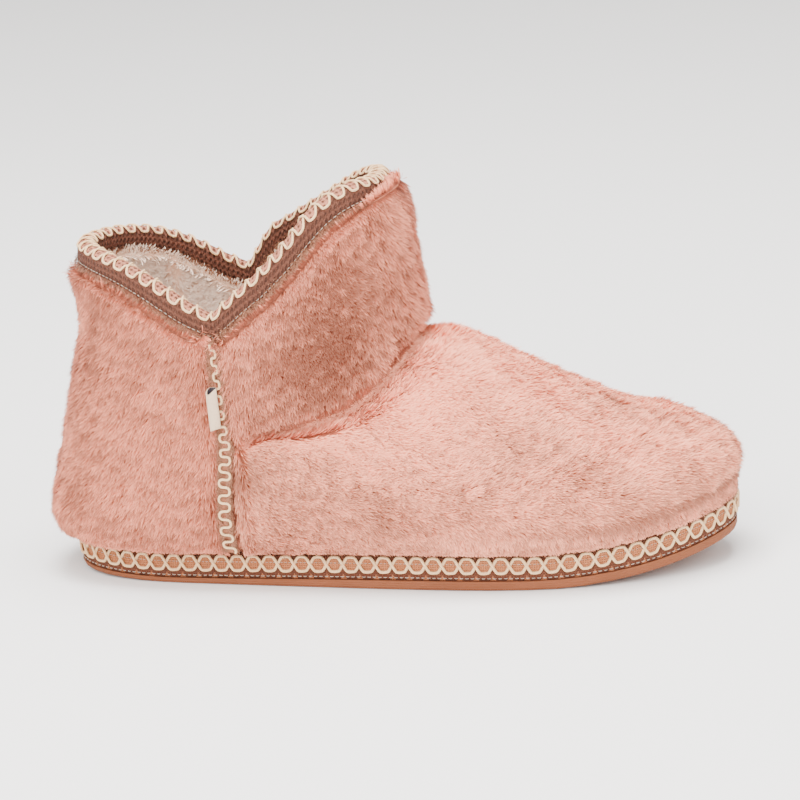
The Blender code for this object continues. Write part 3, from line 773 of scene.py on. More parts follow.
class Strands:
    """Hairs joined into one mesh: each one thin triangle, from its root to a slanting tip."""

    LEVELS = (0.04, 0.78, 1.00)
    TONES = 64
    SMALLEST, LARGEST = 0.5, 1.45
    LOCK_SIZES = 0.28
    LOCK_TURN = 0.30
    ROLL = 0.35

    def __init__(self, style: StrandStyle) -> None:
        """Keeps the style and starts its random numbers."""
        self.style = style
        self.rng = np.random.default_rng(style.seed)

    def grow(
        self, roots: Roots, flow: Array, tall: Array, tone: Array, upright: Array | float = 0.0
    ) -> Growth:
        """The hairs on some roots.

        A hair's tip is its root, plus the normal times the height, plus the flow times the lay, plus a
        pull towards its lock's middle line.

        Args:
            roots: Where the hairs grow.
            flow: Direction each lies in, (n, 3); its part along the normal is left out.
            tall: Height and lay of each, as a share of the style's.
            tone: Lightness of each, about 0 to 1.
            upright: Share of its lay that each gives up.

        Returns:
            The mesh.
        """
        style, rng, count = self.style, self.rng, len(roots.points)
        normals = roots.normals
        flow = unit(flow - normals * (flow * normals).sum(axis=1, keepdims=True))
        across = np.cross(normals, flow)
        along = (roots.points * flow).sum(axis=1, keepdims=True)
        scaled = roots.points / style.lock_across
        scaled = scaled + flow * along * (1 / style.lock_along - 1 / style.lock_across)
        way, mark = nearest_lock(scaled, style.seed)
        pull = across * (way * across).sum(axis=1, keepdims=True) * style.lock_across * style.gather
        size = tall * (1 + style.uneven * rng.normal(size=count)).clip(self.SMALLEST, self.LARGEST)
        size = size * (1 + self.LOCK_SIZES * (mark - 0.5))
        turn = style.stray * rng.normal(size=count) + self.LOCK_TURN * (mark - 0.5)
        lean = flow * np.cos(turn)[:, None] + across * np.sin(turn)[:, None]
        height = (style.height * size)[:, None]
        lay = (style.lay * size * (1 - upright))[:, None]
        swirl = unit(rng.normal(size=(count, 3))) * style.curl
        start, broad, _ = self.LEVELS
        low = roots.points + (normals * height + lean * lay) * start
        tip = roots.points + normals * height + lean * lay + pull + swirl
        roll = self.ROLL * rng.normal(size=count)[:, None]
        direction = unit(tip - low)
        sideways = unit(np.cross(direction, normals))
        facing = np.cross(sideways, direction)
        turned = sideways * np.cos(roll) + facing * np.sin(roll)
        facing = facing * np.cos(roll) - sideways * np.sin(roll)
        width = (style.width * (0.75 + 0.5 * rng.random(count)))[:, None]
        points = np.stack([low, low + (tip - low) * broad + turned * width, tip], axis=1)
        tone = tone + style.lock_tone * (mark - 0.5) + style.hair_tone * rng.normal(size=count)
        shading = np.repeat(unit(style.soft * normals + (1 - style.soft) * facing), 3, axis=0)
        faces = np.arange(3 * count).reshape(-1, 3)
        return Growth(points.reshape(-1, 3), faces, self.chart(tone), shading)

    def chart(self, tone: Array) -> Array:
        """Chart places: a column by lightness, and up it by the share of the hair's length.

        Args:
            tone: Lightness of each hair, 0 to 1.

        Returns:
            Places, three a hair, (corners, 2).
        """
        column = np.clip((tone * self.TONES).astype(int), 0, self.TONES - 1)
        first, second, last = self.LEVELS
        u = (column[:, None] + np.array([0.5, 0.92, 0.08])) / self.TONES
        v = np.broadcast_to([first, second, last - 0.01], u.shape)
        return np.stack([u, v], axis=2).reshape(-1, 2)


def hair_piece(
    name: str, growth: Growth, material: Material, node: str | None = None
) -> None:
    """A piece made of hairs, with its chart and its soft shading normals.

    Args:
        name: Name of the piece.
        growth: The hairs.
        material: Their material.
        node: The solid that they stand for, if any.
    """
    maps = {STRAND_MAP: growth.chart, BAKE_MAP: growth.chart}
    piece = mesh_piece(name, (growth.points, growth.faces), material, node, maps)
    piece.data.normals_split_custom_set_from_vertices(growth.normals.tolist())


def mesh_piece(
    name: str, form: tuple[Array, Array], material: Material, node: str | None = None,
    maps: dict[str, Array] | None = None,
) -> bpy.types.Object:
    """A mesh object at the origin that rides on the shoe.

    Args:
        name: Name of the piece.
        form: Vertices, (n, 3), in metres, and vertex numbers of equal faces, (m, 3) or (m, 4).
        material: Its material.
        node: The solid that it stands for, if any.
        maps: UV maps by name, each (corners, 2) in the faces' order.

    Returns:
        The object.
    """
    points, faces = form
    mesh = bpy.data.meshes.new(name)
    mesh.from_pydata(points.astype(np.float32), [], faces.astype(np.int32))
    for map_name, values in (maps or {}).items():
        layer = mesh.uv_layers.new(name=map_name)
        layer.uv.foreach_set("vector", np.ascontiguousarray(values, np.float32).ravel())
    mesh.materials.append(material)
    mesh.update()
    mesh.shade_smooth()
    made = bpy.data.objects.new(name, mesh)
    bpy.context.scene.collection.objects.link(made)
    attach(made, BODY)
    if node:
        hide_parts(node)
    LOG.info("%s: %d faces of %d corners", name, len(faces), faces.shape[1])
    return made


def grid_faces(rows: int, columns: int, looped: bool = False) -> Array:
    """Quads over a grid whose rows climb, closed round its columns.

    Args:
        rows: How many rows it has.
        columns: How many columns.
        looped: Whether its last row leads back to its first.

    Returns:
        Vertex numbers, (quads, 4).
    """
    r = np.arange(rows if looped else rows - 1)[:, None]
    c = np.arange(columns)[None, :]
    low, high, d = r * columns, (r + 1) % rows * columns, (c + 1) % columns
    return np.stack([low + c, low + d, high + d, high + c], axis=2).reshape(-1, 4)


class Graph:
    """Short ways to write a material's or a group's nodes."""

    def __init__(self, tree: bpy.types.NodeTree) -> None:
        """Keeps the node tree."""
        self.tree = tree

    def node(self, kind: str, **settings: object) -> bpy.types.Node:
        """A new node.

        Args:
            kind: Its type.
            settings: Its settings by name.

        Returns:
            The node.
        """
        made = self.tree.nodes.new(kind)
        for key, value in settings.items():
            setattr(made, key, value)
        return made

    def feed(self, socket: Socket, value: object) -> None:
        """Links an output to a socket, or writes a plain value to it.

        Args:
            socket: The socket.
            value: An output, a number or a colour.
        """
        if isinstance(value, Socket):
            self.tree.links.new(value, socket)
        elif isinstance(value, tuple) and len(value) == 3 and socket.type == "RGBA":
            socket.default_value = (*value, 1.0)
        else:
            socket.default_value = value

    def math(self, operation: str, *values: object) -> Socket:
        """Result of a Math node.

        Args:
            operation: What it does.
            values: What it does it to, outputs or numbers.

        Returns:
            Its output.
        """
        made = self.node("ShaderNodeMath", operation=operation)
        for socket, value in zip(made.inputs, values):
            self.feed(socket, value)
        return made.outputs[0]

    def times(self, first: object, second: object) -> Socket:
        """First times second."""
        return self.math("MULTIPLY", first, second)

    def plus(self, first: object, second: object) -> Socket:
        """First plus second."""
        return self.math("ADD", first, second)

    def minus(self, first: object, second: object) -> Socket:
        """First less second."""
        return self.math("SUBTRACT", first, second)

    def sine(self, value: object, length: float) -> Socket:
        """Sine of a value that repeats every length: sin(2 pi value / length)."""
        return self.math("SINE", self.times(value, 2 * np.pi / length))

    def ramp(
        self, value: object, low: float, high: float, to_low: float = 0.0, to_high: float = 1.0
    ) -> Socket:
        """A value carried smoothly from one range to another, held at its ends.

        Args:
            value: The value.
            low: Where it starts to rise.
            high: Where it is up.
            to_low: What low becomes.
            to_high: What high becomes.

        Returns:
            The output.
        """
        made = self.node("ShaderNodeMapRange", interpolation_type="SMOOTHSTEP")
        for socket, number in zip(made.inputs, (value, low, high, to_low, to_high)):
            self.feed(socket, number)
        return made.outputs[0]

    def blend(self, share: object, first: object, second: object, kind: str = "MIX") -> Socket:
        """Two colours mixed.

        Args:
            share: How much of the second.
            first: The first colour.
            second: The second.
            kind: How they mix.

        Returns:
            The mixed colour.
        """
        made = self.node("ShaderNodeMix", data_type="RGBA", blend_type=kind)
        self.feed(made.inputs[0], share)
        self.feed(made.inputs[6], first)
        self.feed(made.inputs[7], second)
        return made.outputs[2]

    def noise(self, vector: object, scale: float, detail: float = 3.0) -> Socket:
        """Value of a Noise texture.

        Args:
            vector: Where it is read.
            scale: Its scale, in patches a metre.
            detail: Its finer octaves.

        Returns:
            The value.
        """
        made = self.node("ShaderNodeTexNoise")
        for name, value in (("Vector", vector), ("Scale", scale), ("Detail", detail), ("Roughness", 0.55)):
            self.feed(made.inputs[name], value)
        return made.outputs[0]

    def place(self) -> Socket:
        """Object coordinates, in metres."""
        return self.node("ShaderNodeTexCoord").outputs["Object"]

    def split(self, vector: Socket) -> tuple[Socket, Socket, Socket]:
        """The three numbers of a vector.

        Args:
            vector: The vector.

        Returns:
            Its X, Y and Z.
        """
        made = self.node("ShaderNodeSeparateXYZ")
        self.feed(made.inputs[0], vector)
        return tuple(made.outputs)

    def uv(self, name: str) -> tuple[Socket, Socket]:
        """The two numbers of a UV map."""
        return self.split(self.node("ShaderNodeUVMap", uv_map=name).outputs[0])[:2]

    def bump(self, height: object, depth: float) -> Socket:
        """Normal of a raised surface.

        Args:
            height: Its height, as a share of depth.
            depth: The full height, in metres.

        Returns:
            The normal.
        """
        made = self.node("ShaderNodeBump")
        self.feed(made.inputs["Strength"], 1.0)
        self.feed(made.inputs["Distance"], depth)
        self.feed(made.inputs["Height"], height)
        return made.outputs[0]


@dataclass(frozen=True)
class Finish:
    """A name, roughness and sheen, and a Principled shader that each kind's own material() writes to."""

    name: str
    roughness: float = 0.8
    sheen: float = 0.0
    sheen_tint: Colour = (1.0, 1.0, 1.0)

    def start(self) -> tuple[Material, Graph, bpy.types.Node]:
        """Starts the material, with the constant values set on its shader.

        Returns:
            The material, its graph and its shader.
        """
        material = bpy.data.materials.new(self.name)
        material.use_nodes = True
        graph = Graph(material.node_tree)
        shader = material.node_tree.nodes["Principled BSDF"]
        shader.inputs["Roughness"].default_value = self.roughness
        shader.inputs["Sheen Weight"].default_value = self.sheen
        shader.inputs["Sheen Roughness"].default_value = 0.45
        shader.inputs["Sheen Tint"].default_value = (*self.sheen_tint, 1.0)
        shader.inputs["Specular IOR Level"].default_value = 0.25
        return material, graph, shader

    def shared(self) -> Material:
        """The finish's material, made the first time that it is asked for."""
        return bpy.data.materials.get(self.name) or self.material()


@dataclass(frozen=True, kw_only=True)
class StrandFinish(Finish):
    """Hair coloured from root to tip, and lighter or darker from hair to hair."""

    root: Colour
    middle: Colour
    tip: Colour
    dark: float = 0.50
    light: float = 1.18

    def material(self) -> Material:
        """Its map's height picks the colour and its width the lightness, and darker hairs are redder.

        Returns:
            The material.
        """
        material, graph, shader = self.start()
        tone, along = graph.uv(STRAND_MAP)
        # darker roots fading to lighter tips: painted shade deep in the pile
        low = graph.blend(graph.ramp(along, 0.05, 0.62), self.root, self.middle)
        colour = graph.blend(graph.ramp(along, 0.50, 1.0), low, self.tip)
        shade = graph.ramp(tone, 0.0, 1.0, self.dark, self.light)
        tint = graph.node("ShaderNodeCombineColor")
        for socket, power in zip(tint.inputs[:3], (1.0, 1.08, 1.12)):
            graph.feed(socket, graph.math("POWER", shade, power))
        graph.feed(shader.inputs["Base Color"], graph.blend(1.0, colour, tint.outputs[0], "MULTIPLY"))
        return material


@dataclass(frozen=True, kw_only=True)
class ClothFinish(Finish):
    """Plain cloth, felt or foam with a mottled colour and a fine grain."""

    base: Colour
    shade: Colour
    grain: float = 900.0
    depth: float = 0.0004

    def material(self) -> Material:
        """Broad noise mixes the two colours, and fine noise raises the surface.

        Returns:
            The material.
        """
        material, graph, shader = self.start()
        place = graph.place()
        mottle = graph.ramp(graph.noise(place, 0.12 * self.grain), 0.3, 0.7)
        graph.feed(shader.inputs["Base Color"], graph.blend(mottle, self.shade, self.base))
        graph.feed(shader.inputs["Normal"], graph.bump(graph.noise(place, self.grain), self.depth))
        return material


@dataclass(frozen=True, kw_only=True)
class YarnFinish(Finish):
    """Soft twisted yarn. TURNS are its twist and FLUFF the scale of its fluff, both a metre."""

    base: Colour
    shade: Colour

    TURNS = 900.0
    PLIES = 2
    FLUFF = 2600.0

    def material(self) -> Material:
        """Slanted plies along the yarn's own map, and fluff from fine noise.

        Returns:
            The material.
        """
        material, graph, shader = self.start()
        along, around = graph.uv(TAPE_MAP)
        turns = graph.plus(graph.times(along, self.TURNS), around)
        ply = graph.math("SINE", graph.times(turns, 2 * np.pi * self.PLIES))
        fluff = graph.noise(graph.place(), self.FLUFF)
        height = graph.plus(graph.times(ply, 0.3), fluff)
        # darker where the plies and fluff sink: painted shade in the yarn's grooves
        colour = graph.blend(graph.ramp(height, 0.1, 0.6), self.shade, self.base)
        graph.feed(shader.inputs["Base Color"], colour)
        graph.feed(shader.inputs["Normal"], graph.bump(height, 0.0003))
        return material


def weave_group() -> bpy.types.NodeTree:
    """Node group for cloth tape: upright ribs and rows across them, on the tape's own map.

    Its inputs are Along and Across, in metres, Rib, the distance between two ribs, and Row, that
    between two rows. Height is half the ribs' sine plus half its product with the rows', and Gap is 1
    in the hollows.

    Returns:
        The group.
    """
    tree = bpy.data.node_groups.new("ribbed weave", "ShaderNodeTree")
    for name, value in (("Along", 0.0), ("Across", 0.0), ("Rib", 0.0008), ("Row", 0.0009)):
        tree.interface.new_socket(name, in_out="INPUT", socket_type="NodeSocketFloat").default_value = value
    for name in ("Height", "Gap"):
        tree.interface.new_socket(name, in_out="OUTPUT", socket_type="NodeSocketFloat")
    graph = Graph(tree)
    taken = graph.node("NodeGroupInput").outputs
    given = graph.node("NodeGroupOutput").inputs
    rib = graph.sine(graph.math("DIVIDE", taken["Along"], taken["Rib"]), 1.0)
    row = graph.sine(graph.math("DIVIDE", taken["Across"], taken["Row"]), 1.0)
    odd = graph.times(rib, row)
    height = graph.plus(graph.times(rib, 0.5), graph.times(odd, 0.5))
    graph.feed(given["Height"], height)
    graph.feed(given["Gap"], graph.ramp(height, -0.7, 0.2, 1.0, 0.0))
    return tree


@dataclass(frozen=True, kw_only=True)
class TapeFinish(Finish):
    """Woven tape: tan inside the yarns' net, dark outside it with small tan triangles at its foot.

    Net is the net's half-width, foot the way down to the tape's lower edge, point the triangles' height
    and steep their slope, in shares of a hexagon a metre.
    """

    dark: Colour
    tan: Colour
    net: float
    foot: float
    ribs: float = 7.0
    row: float = 0.0009
    # how far the weave's hollows are darkened: painted shade
    gap: float = 0.40
    relief: float = 0.00035
    point: float = 0.0024
    steep: float = 250.0

    def material(self, weave: bpy.types.NodeTree, period: float) -> Material:
        """The tan reaches as far from the middle as net times a held cosine of the way along.

        Args:
            weave: The ribbed weave's group.
            period: Distance between two hexagons, in metres.

        Returns:
            The material.
        """
        material, graph, shader = self.start()
        along, across = graph.uv(TAPE_MAP)
        turn = graph.math("COSINE", graph.times(along, np.pi / period))
        reach = graph.math("MINIMUM", graph.times(graph.math("ABSOLUTE", turn), 1.5), 1.0)
        away = graph.math("ABSOLUTE", across)
        inside = graph.minus(graph.times(reach, self.net), away)
        inside = graph.ramp(inside, -0.0002, 0.0002)
        below = graph.minus(graph.times(across, -1.0), self.foot - self.point)
        corner = graph.times(below, self.steep)
        small = graph.ramp(graph.minus(corner, graph.math("ABSOLUTE", turn)), -0.04, 0.06)
        cloth = graph.node("ShaderNodeGroup", node_tree=weave)
        graph.feed(cloth.inputs["Along"], along)
        graph.feed(cloth.inputs["Across"], across)
        cloth.inputs["Rib"].default_value = period / self.ribs
        cloth.inputs["Row"].default_value = self.row
        fuzz = graph.noise(graph.place(), 1900.0)
        tan = graph.math("MAXIMUM", inside, graph.times(small, 0.8))
        base = graph.blend(tan, self.dark, self.tan)
        # darker in the weave's hollows: painted shade
        gap = graph.times(cloth.outputs["Gap"], self.gap)
        base = graph.blend(gap, base, tuple(0.55 * v for v in self.dark))
        base = graph.blend(graph.ramp(fuzz, 0.35, 0.75, 0.0, 0.15), base, self.tan)
        graph.feed(shader.inputs["Base Color"], base)
        height = graph.plus(cloth.outputs["Height"], fuzz)
        graph.feed(shader.inputs["Normal"], graph.bump(height, self.relief))
        return material


@dataclass(frozen=True, kw_only=True)
class SoleFinish(Finish):
    """Moulded sole: fine lines along its side and small lugs under it."""

    base: Colour
    shade: Colour
    lug: float = 0.006
    line: float = 0.0009
    relief: float = 0.0008

    def material(self) -> Material:
        """A rounded grid of lugs where the surface faces down, and level lines elsewhere.

        Returns:
            The material.
        """
        material, graph, shader = self.start()
        place = graph.place()
        x, y, z = graph.split(place)
        cells = graph.node("ShaderNodeTexVoronoi", feature="DISTANCE_TO_EDGE")
        cells.inputs["Scale"].default_value = 1 / self.lug
        cells.inputs["Randomness"].default_value = 0.15
        flat = graph.node("ShaderNodeCombineXYZ")
        graph.feed(flat.inputs[0], x)
        graph.feed(flat.inputs[1], y)
        graph.feed(cells.inputs["Vector"], flat.outputs[0])
        facing = graph.split(graph.node("ShaderNodeNewGeometry").outputs["Normal"])
        under = graph.ramp(facing[2], -0.95, -0.7, 1.0, 0.0)
        lugs = graph.times(graph.ramp(cells.outputs["Distance"], 0.02, 0.12), under)
        lines = graph.times(graph.sine(z, self.line), graph.minus(1.0, under))
        grain = graph.noise(place, 1400.0)
        fine = graph.plus(graph.times(lines, 0.06), graph.times(grain, 0.2))
        wear = graph.times(graph.ramp(graph.noise(place, 60.0, 5.0), 0.35, 0.7), 0.5)
        rough = graph.ramp(grain, 0.3, 0.7, self.roughness - 0.1, self.roughness + 0.1)
        graph.feed(shader.inputs["Base Color"], graph.blend(wear, self.base, self.shade))
        graph.feed(shader.inputs["Normal"], graph.bump(graph.plus(lugs, fine), self.relief))
        graph.feed(shader.inputs["Roughness"], rough)
        return material


@dataclass(frozen=True, kw_only=True)
class RibbonFinish(Finish):
    """Plain woven satin ribbon."""

    base: Colour
    shade: Colour
    inside: Colour = (0.03, 0.022, 0.03)
    warp: float = 0.0004
    weft: float = 0.0005
    relief: float = 0.00008

    def material(self) -> Material:
        """Upright threads crossed by level ones, in object coordinates, and dark inside the fold.

        Returns:
            The material.
        """
        material, graph, shader = self.start()
        x, _, z = graph.split(graph.place())
        height = graph.plus(graph.sine(x, self.warp), graph.sine(z, self.weft))
        face, _ = graph.uv(TAPE_MAP)
        # darker where the threads sink: painted shade between them
        threads = graph.blend(graph.ramp(height, -1.6, 0.2), self.shade, self.base)
        graph.feed(shader.inputs["Base Color"], graph.blend(face, threads, self.inside))
        graph.feed(shader.inputs["Normal"], graph.bump(height, self.relief))
        return material


class Panel(Enum):
    """The three fur panels of the upper."""

    HEEL = "heel quarter"
    SHAFT = "shaft front"
    VAMP = "vamp"


# each root colour is darker than its tip: painted shade deep in the pile
FUR = {
    Panel.HEEL: StrandFinish(
        "fur of the heel quarter", 0.85, 0.15, (1.0, 0.70, 0.60),
        root=linear(164, 84, 60), middle=linear(207, 109, 80), tip=linear(229, 146, 117),
    ),
    Panel.SHAFT: StrandFinish(
        "fur of the shaft front", 0.85, 0.15, (1.0, 0.68, 0.56),
        root=linear(134, 66, 46), middle=linear(201, 107, 79), tip=linear(231, 149, 120),
    ),
    Panel.VAMP: StrandFinish(
        "fur of the vamp", 0.85, 0.15, (1.0, 0.74, 0.64),
        root=linear(188, 98, 70), middle=linear(234, 132, 100), tip=linear(253, 175, 143),
    ),
}
FUR_BACKING = ClothFinish("fur backing", 0.95, base=linear(196, 120, 94), shade=linear(160, 90, 68))
FLEECE = StrandFinish(
    "fleece lining", 0.9, 0.0,
    root=linear(255, 208, 178), middle=linear(255, 226, 202), tip=linear(255, 234, 216),
    dark=0.92, light=1.02,
)
FLEECE_BACKING = ClothFinish("fleece backing", 0.95, base=linear(255, 228, 204), shade=linear(253, 214, 186))
FUZZ = StrandFinish(
    "fuzz of the tape's edge", 0.85, 0.15,
    root=linear(84, 50, 36), middle=linear(122, 78, 58), tip=linear(176, 122, 94), dark=0.7, light=1.2,
)
CREAM = YarnFinish("cream yarn", 0.85, 0.10, base=linear(255, 220, 170), shade=linear(240, 180, 128))
THREAD = YarnFinish("white thread", 0.7, base=linear(255, 238, 220), shade=linear(240, 212, 190))
SOLE_CLOTH = TapeFinish(
    "tape of the sole", 0.9, dark=linear(98, 56, 41), tan=linear(192, 122, 82), net=0.0028, foot=0.0061,
)
COLLAR_CLOTH = TapeFinish(
    "tape of the collar", 0.9, dark=linear(106, 64, 50), tan=linear(216, 142, 114),
    net=0.0040, foot=1.0, ribs=3.0, row=0.0022, gap=0.85, relief=0.0012,
)
STRIP_CLOTH = ClothFinish(
    "strip of the side seams", 0.9, base=linear(192, 124, 93), shade=linear(108, 65, 49), grain=1100.0,
)
SOLE = SoleFinish("moulded sole", 0.7, base=linear(132, 77, 49), shade=linear(116, 67, 42))
FOOTBED = ClothFinish(
    "footbed fleece", 0.95, base=linear(255, 230, 204), shade=linear(236, 200, 168),
    grain=500.0, depth=0.001,
)
FLOOR = ClothFinish(
    "pale floor", 0.9, base=(0.97, 0.97, 0.97), shade=(0.96, 0.96, 0.96), grain=40.0, depth=0.0,
)
LABEL = RibbonFinish("label ribbon", 0.55, 0.2, base=linear(252, 222, 186), shade=linear(238, 198, 158))


@dataclass(frozen=True)
class Patch:
    """A bell-shaped patch of the fur: its middle and reach round the shoe, then up the rows."""

    middle: float
    reach: float
    row: float
    rows: float

    def on(self, place: Array, row: Array) -> Array:
        """Its strength at some places: the product of a bell in each direction."""
        return bell(place, self.middle, self.reach) * bell(row, self.row, self.rows)


@dataclass(frozen=True)
class Nap:
    """How a panel's hairs lie: their way, and their way beside the side seams.

    Near is how far the seams' way reaches, hold how much of it is taken, swirl the share of the common
    swirl, and mottle the strength of the small lighter and darker patches.
    """

    flow: Triple
    beside: Triple
    near: float
    mottle: float
    swirl: float = 1.0
    hold: float = 1.0


NAPS = {
    Panel.HEEL: Nap((-0.50, 0.0, -0.85), (0.30, 0.0, -0.80), 0.0025, 0.18),
    Panel.SHAFT: Nap((-0.20, 0.0, -0.95), (-0.80, 0.0, -0.40), 0.0050, 0.20, swirl=1.5),
    Panel.VAMP: Nap((0.95, 0.0, -0.28), (-0.35, 0.0, -0.50), 0.0050, 0.11, hold=0.7),
}


@dataclass
class FurUpper:
    """The upper's cloth with its three panels of fur, in place of the upper's plain solid.

    HOLLOW is the dent in the heel quarter, its hairs shorter and darkened by painted shade, HEART the patch
    of painted shade in the middle of the shaft, where its hairs stand up, and CORNER_SHADOW the painted
    shadow on the vamp by the side seam. GROOVE and LEDGE are the middles and reaches of bands up the rows,
    FRINGE_SHADOW those of a painted shadow line over the toe's fringe, and SEAM_CLEAR is kept bare beside a
    side seam, less above LABEL_ROW.
    """

    form: SlipperForm
    columns: int = 900
    rows: int = 150
    pile: float = 0.0036
    style: StrandStyle = StrandStyle(
        height=0.0033, lay=0.0040, width=0.00030, lock_along=0.0048, lock_across=0.0012, gather=0.40,
        stray=0.20, seed=11,
    )
    hairs: dict[Panel, int] = field(
        default_factory=lambda: {Panel.HEEL: 150000, Panel.SHAFT: 130000, Panel.VAMP: 350000}
    )

    SWIRL = (0.20, 0.20, 0.25)
    SWIRL_SIZE = 0.030
    HOLLOW = Patch(0.195, 0.035, 0.815, 0.060)
    HEART = Patch(0.40, 0.24, 0.754, 0.147)
    CORNER_SHADOW = Patch(0.0, 0.10, 0.40, 0.15)
    GROOVE = (0.60, 0.022)
    FRINGE_SHADOW = (0.105, 0.016)
    LEDGE = (0.945, 0.036)
    SEAM_CLEAR = (0.0029, 0.0017)
    LABEL_ROW = 0.62
    LINING_BACK = 0.0015

    def build(self) -> None:
        """Builds the backing and the panels."""
        around = Columns.even(self.columns)
        outside = Surface(self.form.outside(around)).refined(self.rows)
        self.build_backing()
        short = self.shortness(around)
        skin = Surface(outside.points - outside.normals * (self.pile * short)[:, :, None])
        for panel in Panel:
            self.build_panel(panel, around, skin)

    def shortness(self, around: Columns) -> Array:
        """Share of the full pile: less at the seams, at the sole's tape and at the collar's tape.

        Args:
            around: Columns of the skin.

        Returns:
            The share, (rows, columns).
        """
        at_seam = 0.35 + 0.65 * step(self.form.seam_distance(around) / 0.009)
        row = np.linspace(0, 1, self.rows)[:, None]
        top = 0.75 + 0.25 * step((1 - row) / 0.12)
        low = 0.35 + 0.65 * step(row / 0.12)
        return at_seam[None, :] * top * low

    def build_backing(self) -> None:
        """The cloth under the fur and the lining: one closed wall a pile's depth inside the solid's."""
        count, form = 240, self.form
        around = Columns.even(count)
        outside = Surface(form.outside(around)).refined(48)
        inner = Surface(outside.points - outside.evened(2) * 0.85 * self.pile)
        inset = -(form.tape_thickness + 2 * form.clearance)
        under = form.collar_tape_outside + 2 * form.clearance
        half = 0.5 * form.collar_wall
        low = [
            form.on_sole(around, inset, form.outsole_thickness + form.clearance),
            form.on_sole(around, inset, form.tape_top(around) + form.clearance),
        ]
        high = [
            form.at_collar(around, half, under),
            form.at_collar(around, half, 0.0),
            form.at_collar(around, -half, 0.0),
            form.at_collar(around, -half, form.collar_tape_inside + 2 * form.clearance),
        ]
        lining = Surface(form.inside(around)).refined(30)
        back = lining.points + Surface(lining.points[::-1]).normals[::-1] * self.LINING_BACK
        last = [form.on_sole(around, inset - form.foot_wall, form.outsole_thickness + form.clearance)]
        rows = np.array([*low, *inner.points[1:-1], *high, *back, *last])
        faces = grid_faces(len(rows), count, looped=True)
        shape = (rows.reshape(-1, 3), faces)
        piece = mesh_piece("upper_cloth", shape, FUR_BACKING.material(), "upper")
        piece.data.materials.append(FLEECE_BACKING.material())
        inside = faces[:, 0] >= count * (len(low) + len(inner.points))
        piece.data.polygons.foreach_set("material_index", inside.astype(np.int32))

    def build_panel(self, panel: Panel, around: Columns, skin: Surface) -> None:
        """The fur of one panel.

        Args:
            panel: Which panel.
            around: Columns of the skin.
            skin: The cloth's outside under the fur.
        """
        seam_row = (self.form.ankle_row + 2) / (self.form.ankle_row + 10)
        row = np.linspace(0, 1, self.rows)[:, None]
        low, high = self.SEAM_CLEAR
        clear = self.form.seam_distance(around)[None, :] > np.where(row > self.LABEL_ROW, high, low)
        ahead = around.front[None, :]
        within = {
            Panel.HEEL: ~ahead & clear,
            Panel.SHAFT: ahead & clear & (row >= seam_row),
            Panel.VAMP: ahead & clear & (row < seam_row),
        }[panel]
        strands = Strands(replace(self.style, seed=self.style.seed + len(panel.value)))
        roots = Roots.scattered(skin, within.astype(float), self.hairs[panel], strands.rng)
        growth = strands.grow(roots, *self.grooming(panel, roots))
        material = FUR[panel].material()
        pieces = -(-len(growth.faces) // FACES_A_PIECE)
        for k, numbers in enumerate(np.array_split(np.arange(self.hairs[panel]), pieces)):
            name = panel.value.replace(" ", "_") + "_fur" + (f"_{k + 1}" if pieces > 1 else "")
            hair_piece(name, growth.part(numbers[0], numbers[-1] + 1), material, "upper")

    def grooming(self, panel: Panel, roots: Roots) -> tuple[Array, Array, Array, Array]:
        """How a panel's hairs lie.

        Args:
            panel: Which panel.
            roots: Where the hairs grow.

        Returns:
            Directions (n, 3), heights, lightnesses and shares of the lay given up.
        """
        points, row, nap = roots.points, roots.row, NAPS[panel]
        place = Columns(roots.place)
        top = 1 - step((1 - row) / 0.10)
        # random mottle, and lighter in the top rows under the collar's tape: painted light over the shade
        # there
        tone = 0.56 + nap.mottle * waves(points, 0.0055, 6) + 0.12 * waves(points, 0.024, 7) + 0.16 * top
        tall = 1 + 0.12 * waves(points, 0.008, 8)
        tall = tall * (0.35 + 0.65 * step(row / 0.16)) * (1 - 0.10 * top)
        near = (1 - step((self.form.seam_distance(place) - 0.0030) / nap.near))[:, None]
        swirl = waves(points, self.SWIRL_SIZE, 5)[:, None] * np.array(self.SWIRL)
        flow = np.array(nap.flow) + swirl * nap.swirl
        upright = np.zeros(len(points))
        if panel is Panel.HEEL:
            hollow = self.HOLLOW.on(place.round, row)
            # the dent is darkened: painted shade in the hollow
            tone = tone - 0.07 - 0.42 * hollow
            tall = tall * (1 - 0.25 * hollow)
        elif panel is Panel.SHAFT:
            heart = self.HEART.on(place.forward, row)
            upright = 0.55 * heart
            # darker in the middle where the hairs stand up: painted shade, with random grain in it
            tone = tone - 0.52 * heart + 0.20 * waves(points, 0.0042, 9) * heart
            # lighter towards the front and under the collar: painted highlights at the panel's edges
            tone = tone + 0.10 * step((place.forward - 0.70) / 0.2) + 0.10 * step((row - 0.8975) / 0.042)
            tall = tall * (1 + 0.20 * near[:, 0])
        else:
            fringe = ((1 - step((row - 0.09) / 0.04)) * step((place.forward - 0.15) / 0.2))[:, None]
            flow = flow * (1 - fringe) + np.array([0.25, 0.0, -0.9]) * fringe
            # a dark band a little above the sole's tape: painted shadow line over the hanging fringe
            line = bell(row, *self.FRINGE_SHADOW) * step((place.forward - 0.35) / 0.2)
            line = line * (0.34 + 0.30 * step((place.forward - 0.45) / 0.25))
            # darker in the vamp's corner by the side seam, under the shaft: painted shadow
            corner = self.CORNER_SHADOW.on(place.forward, row)
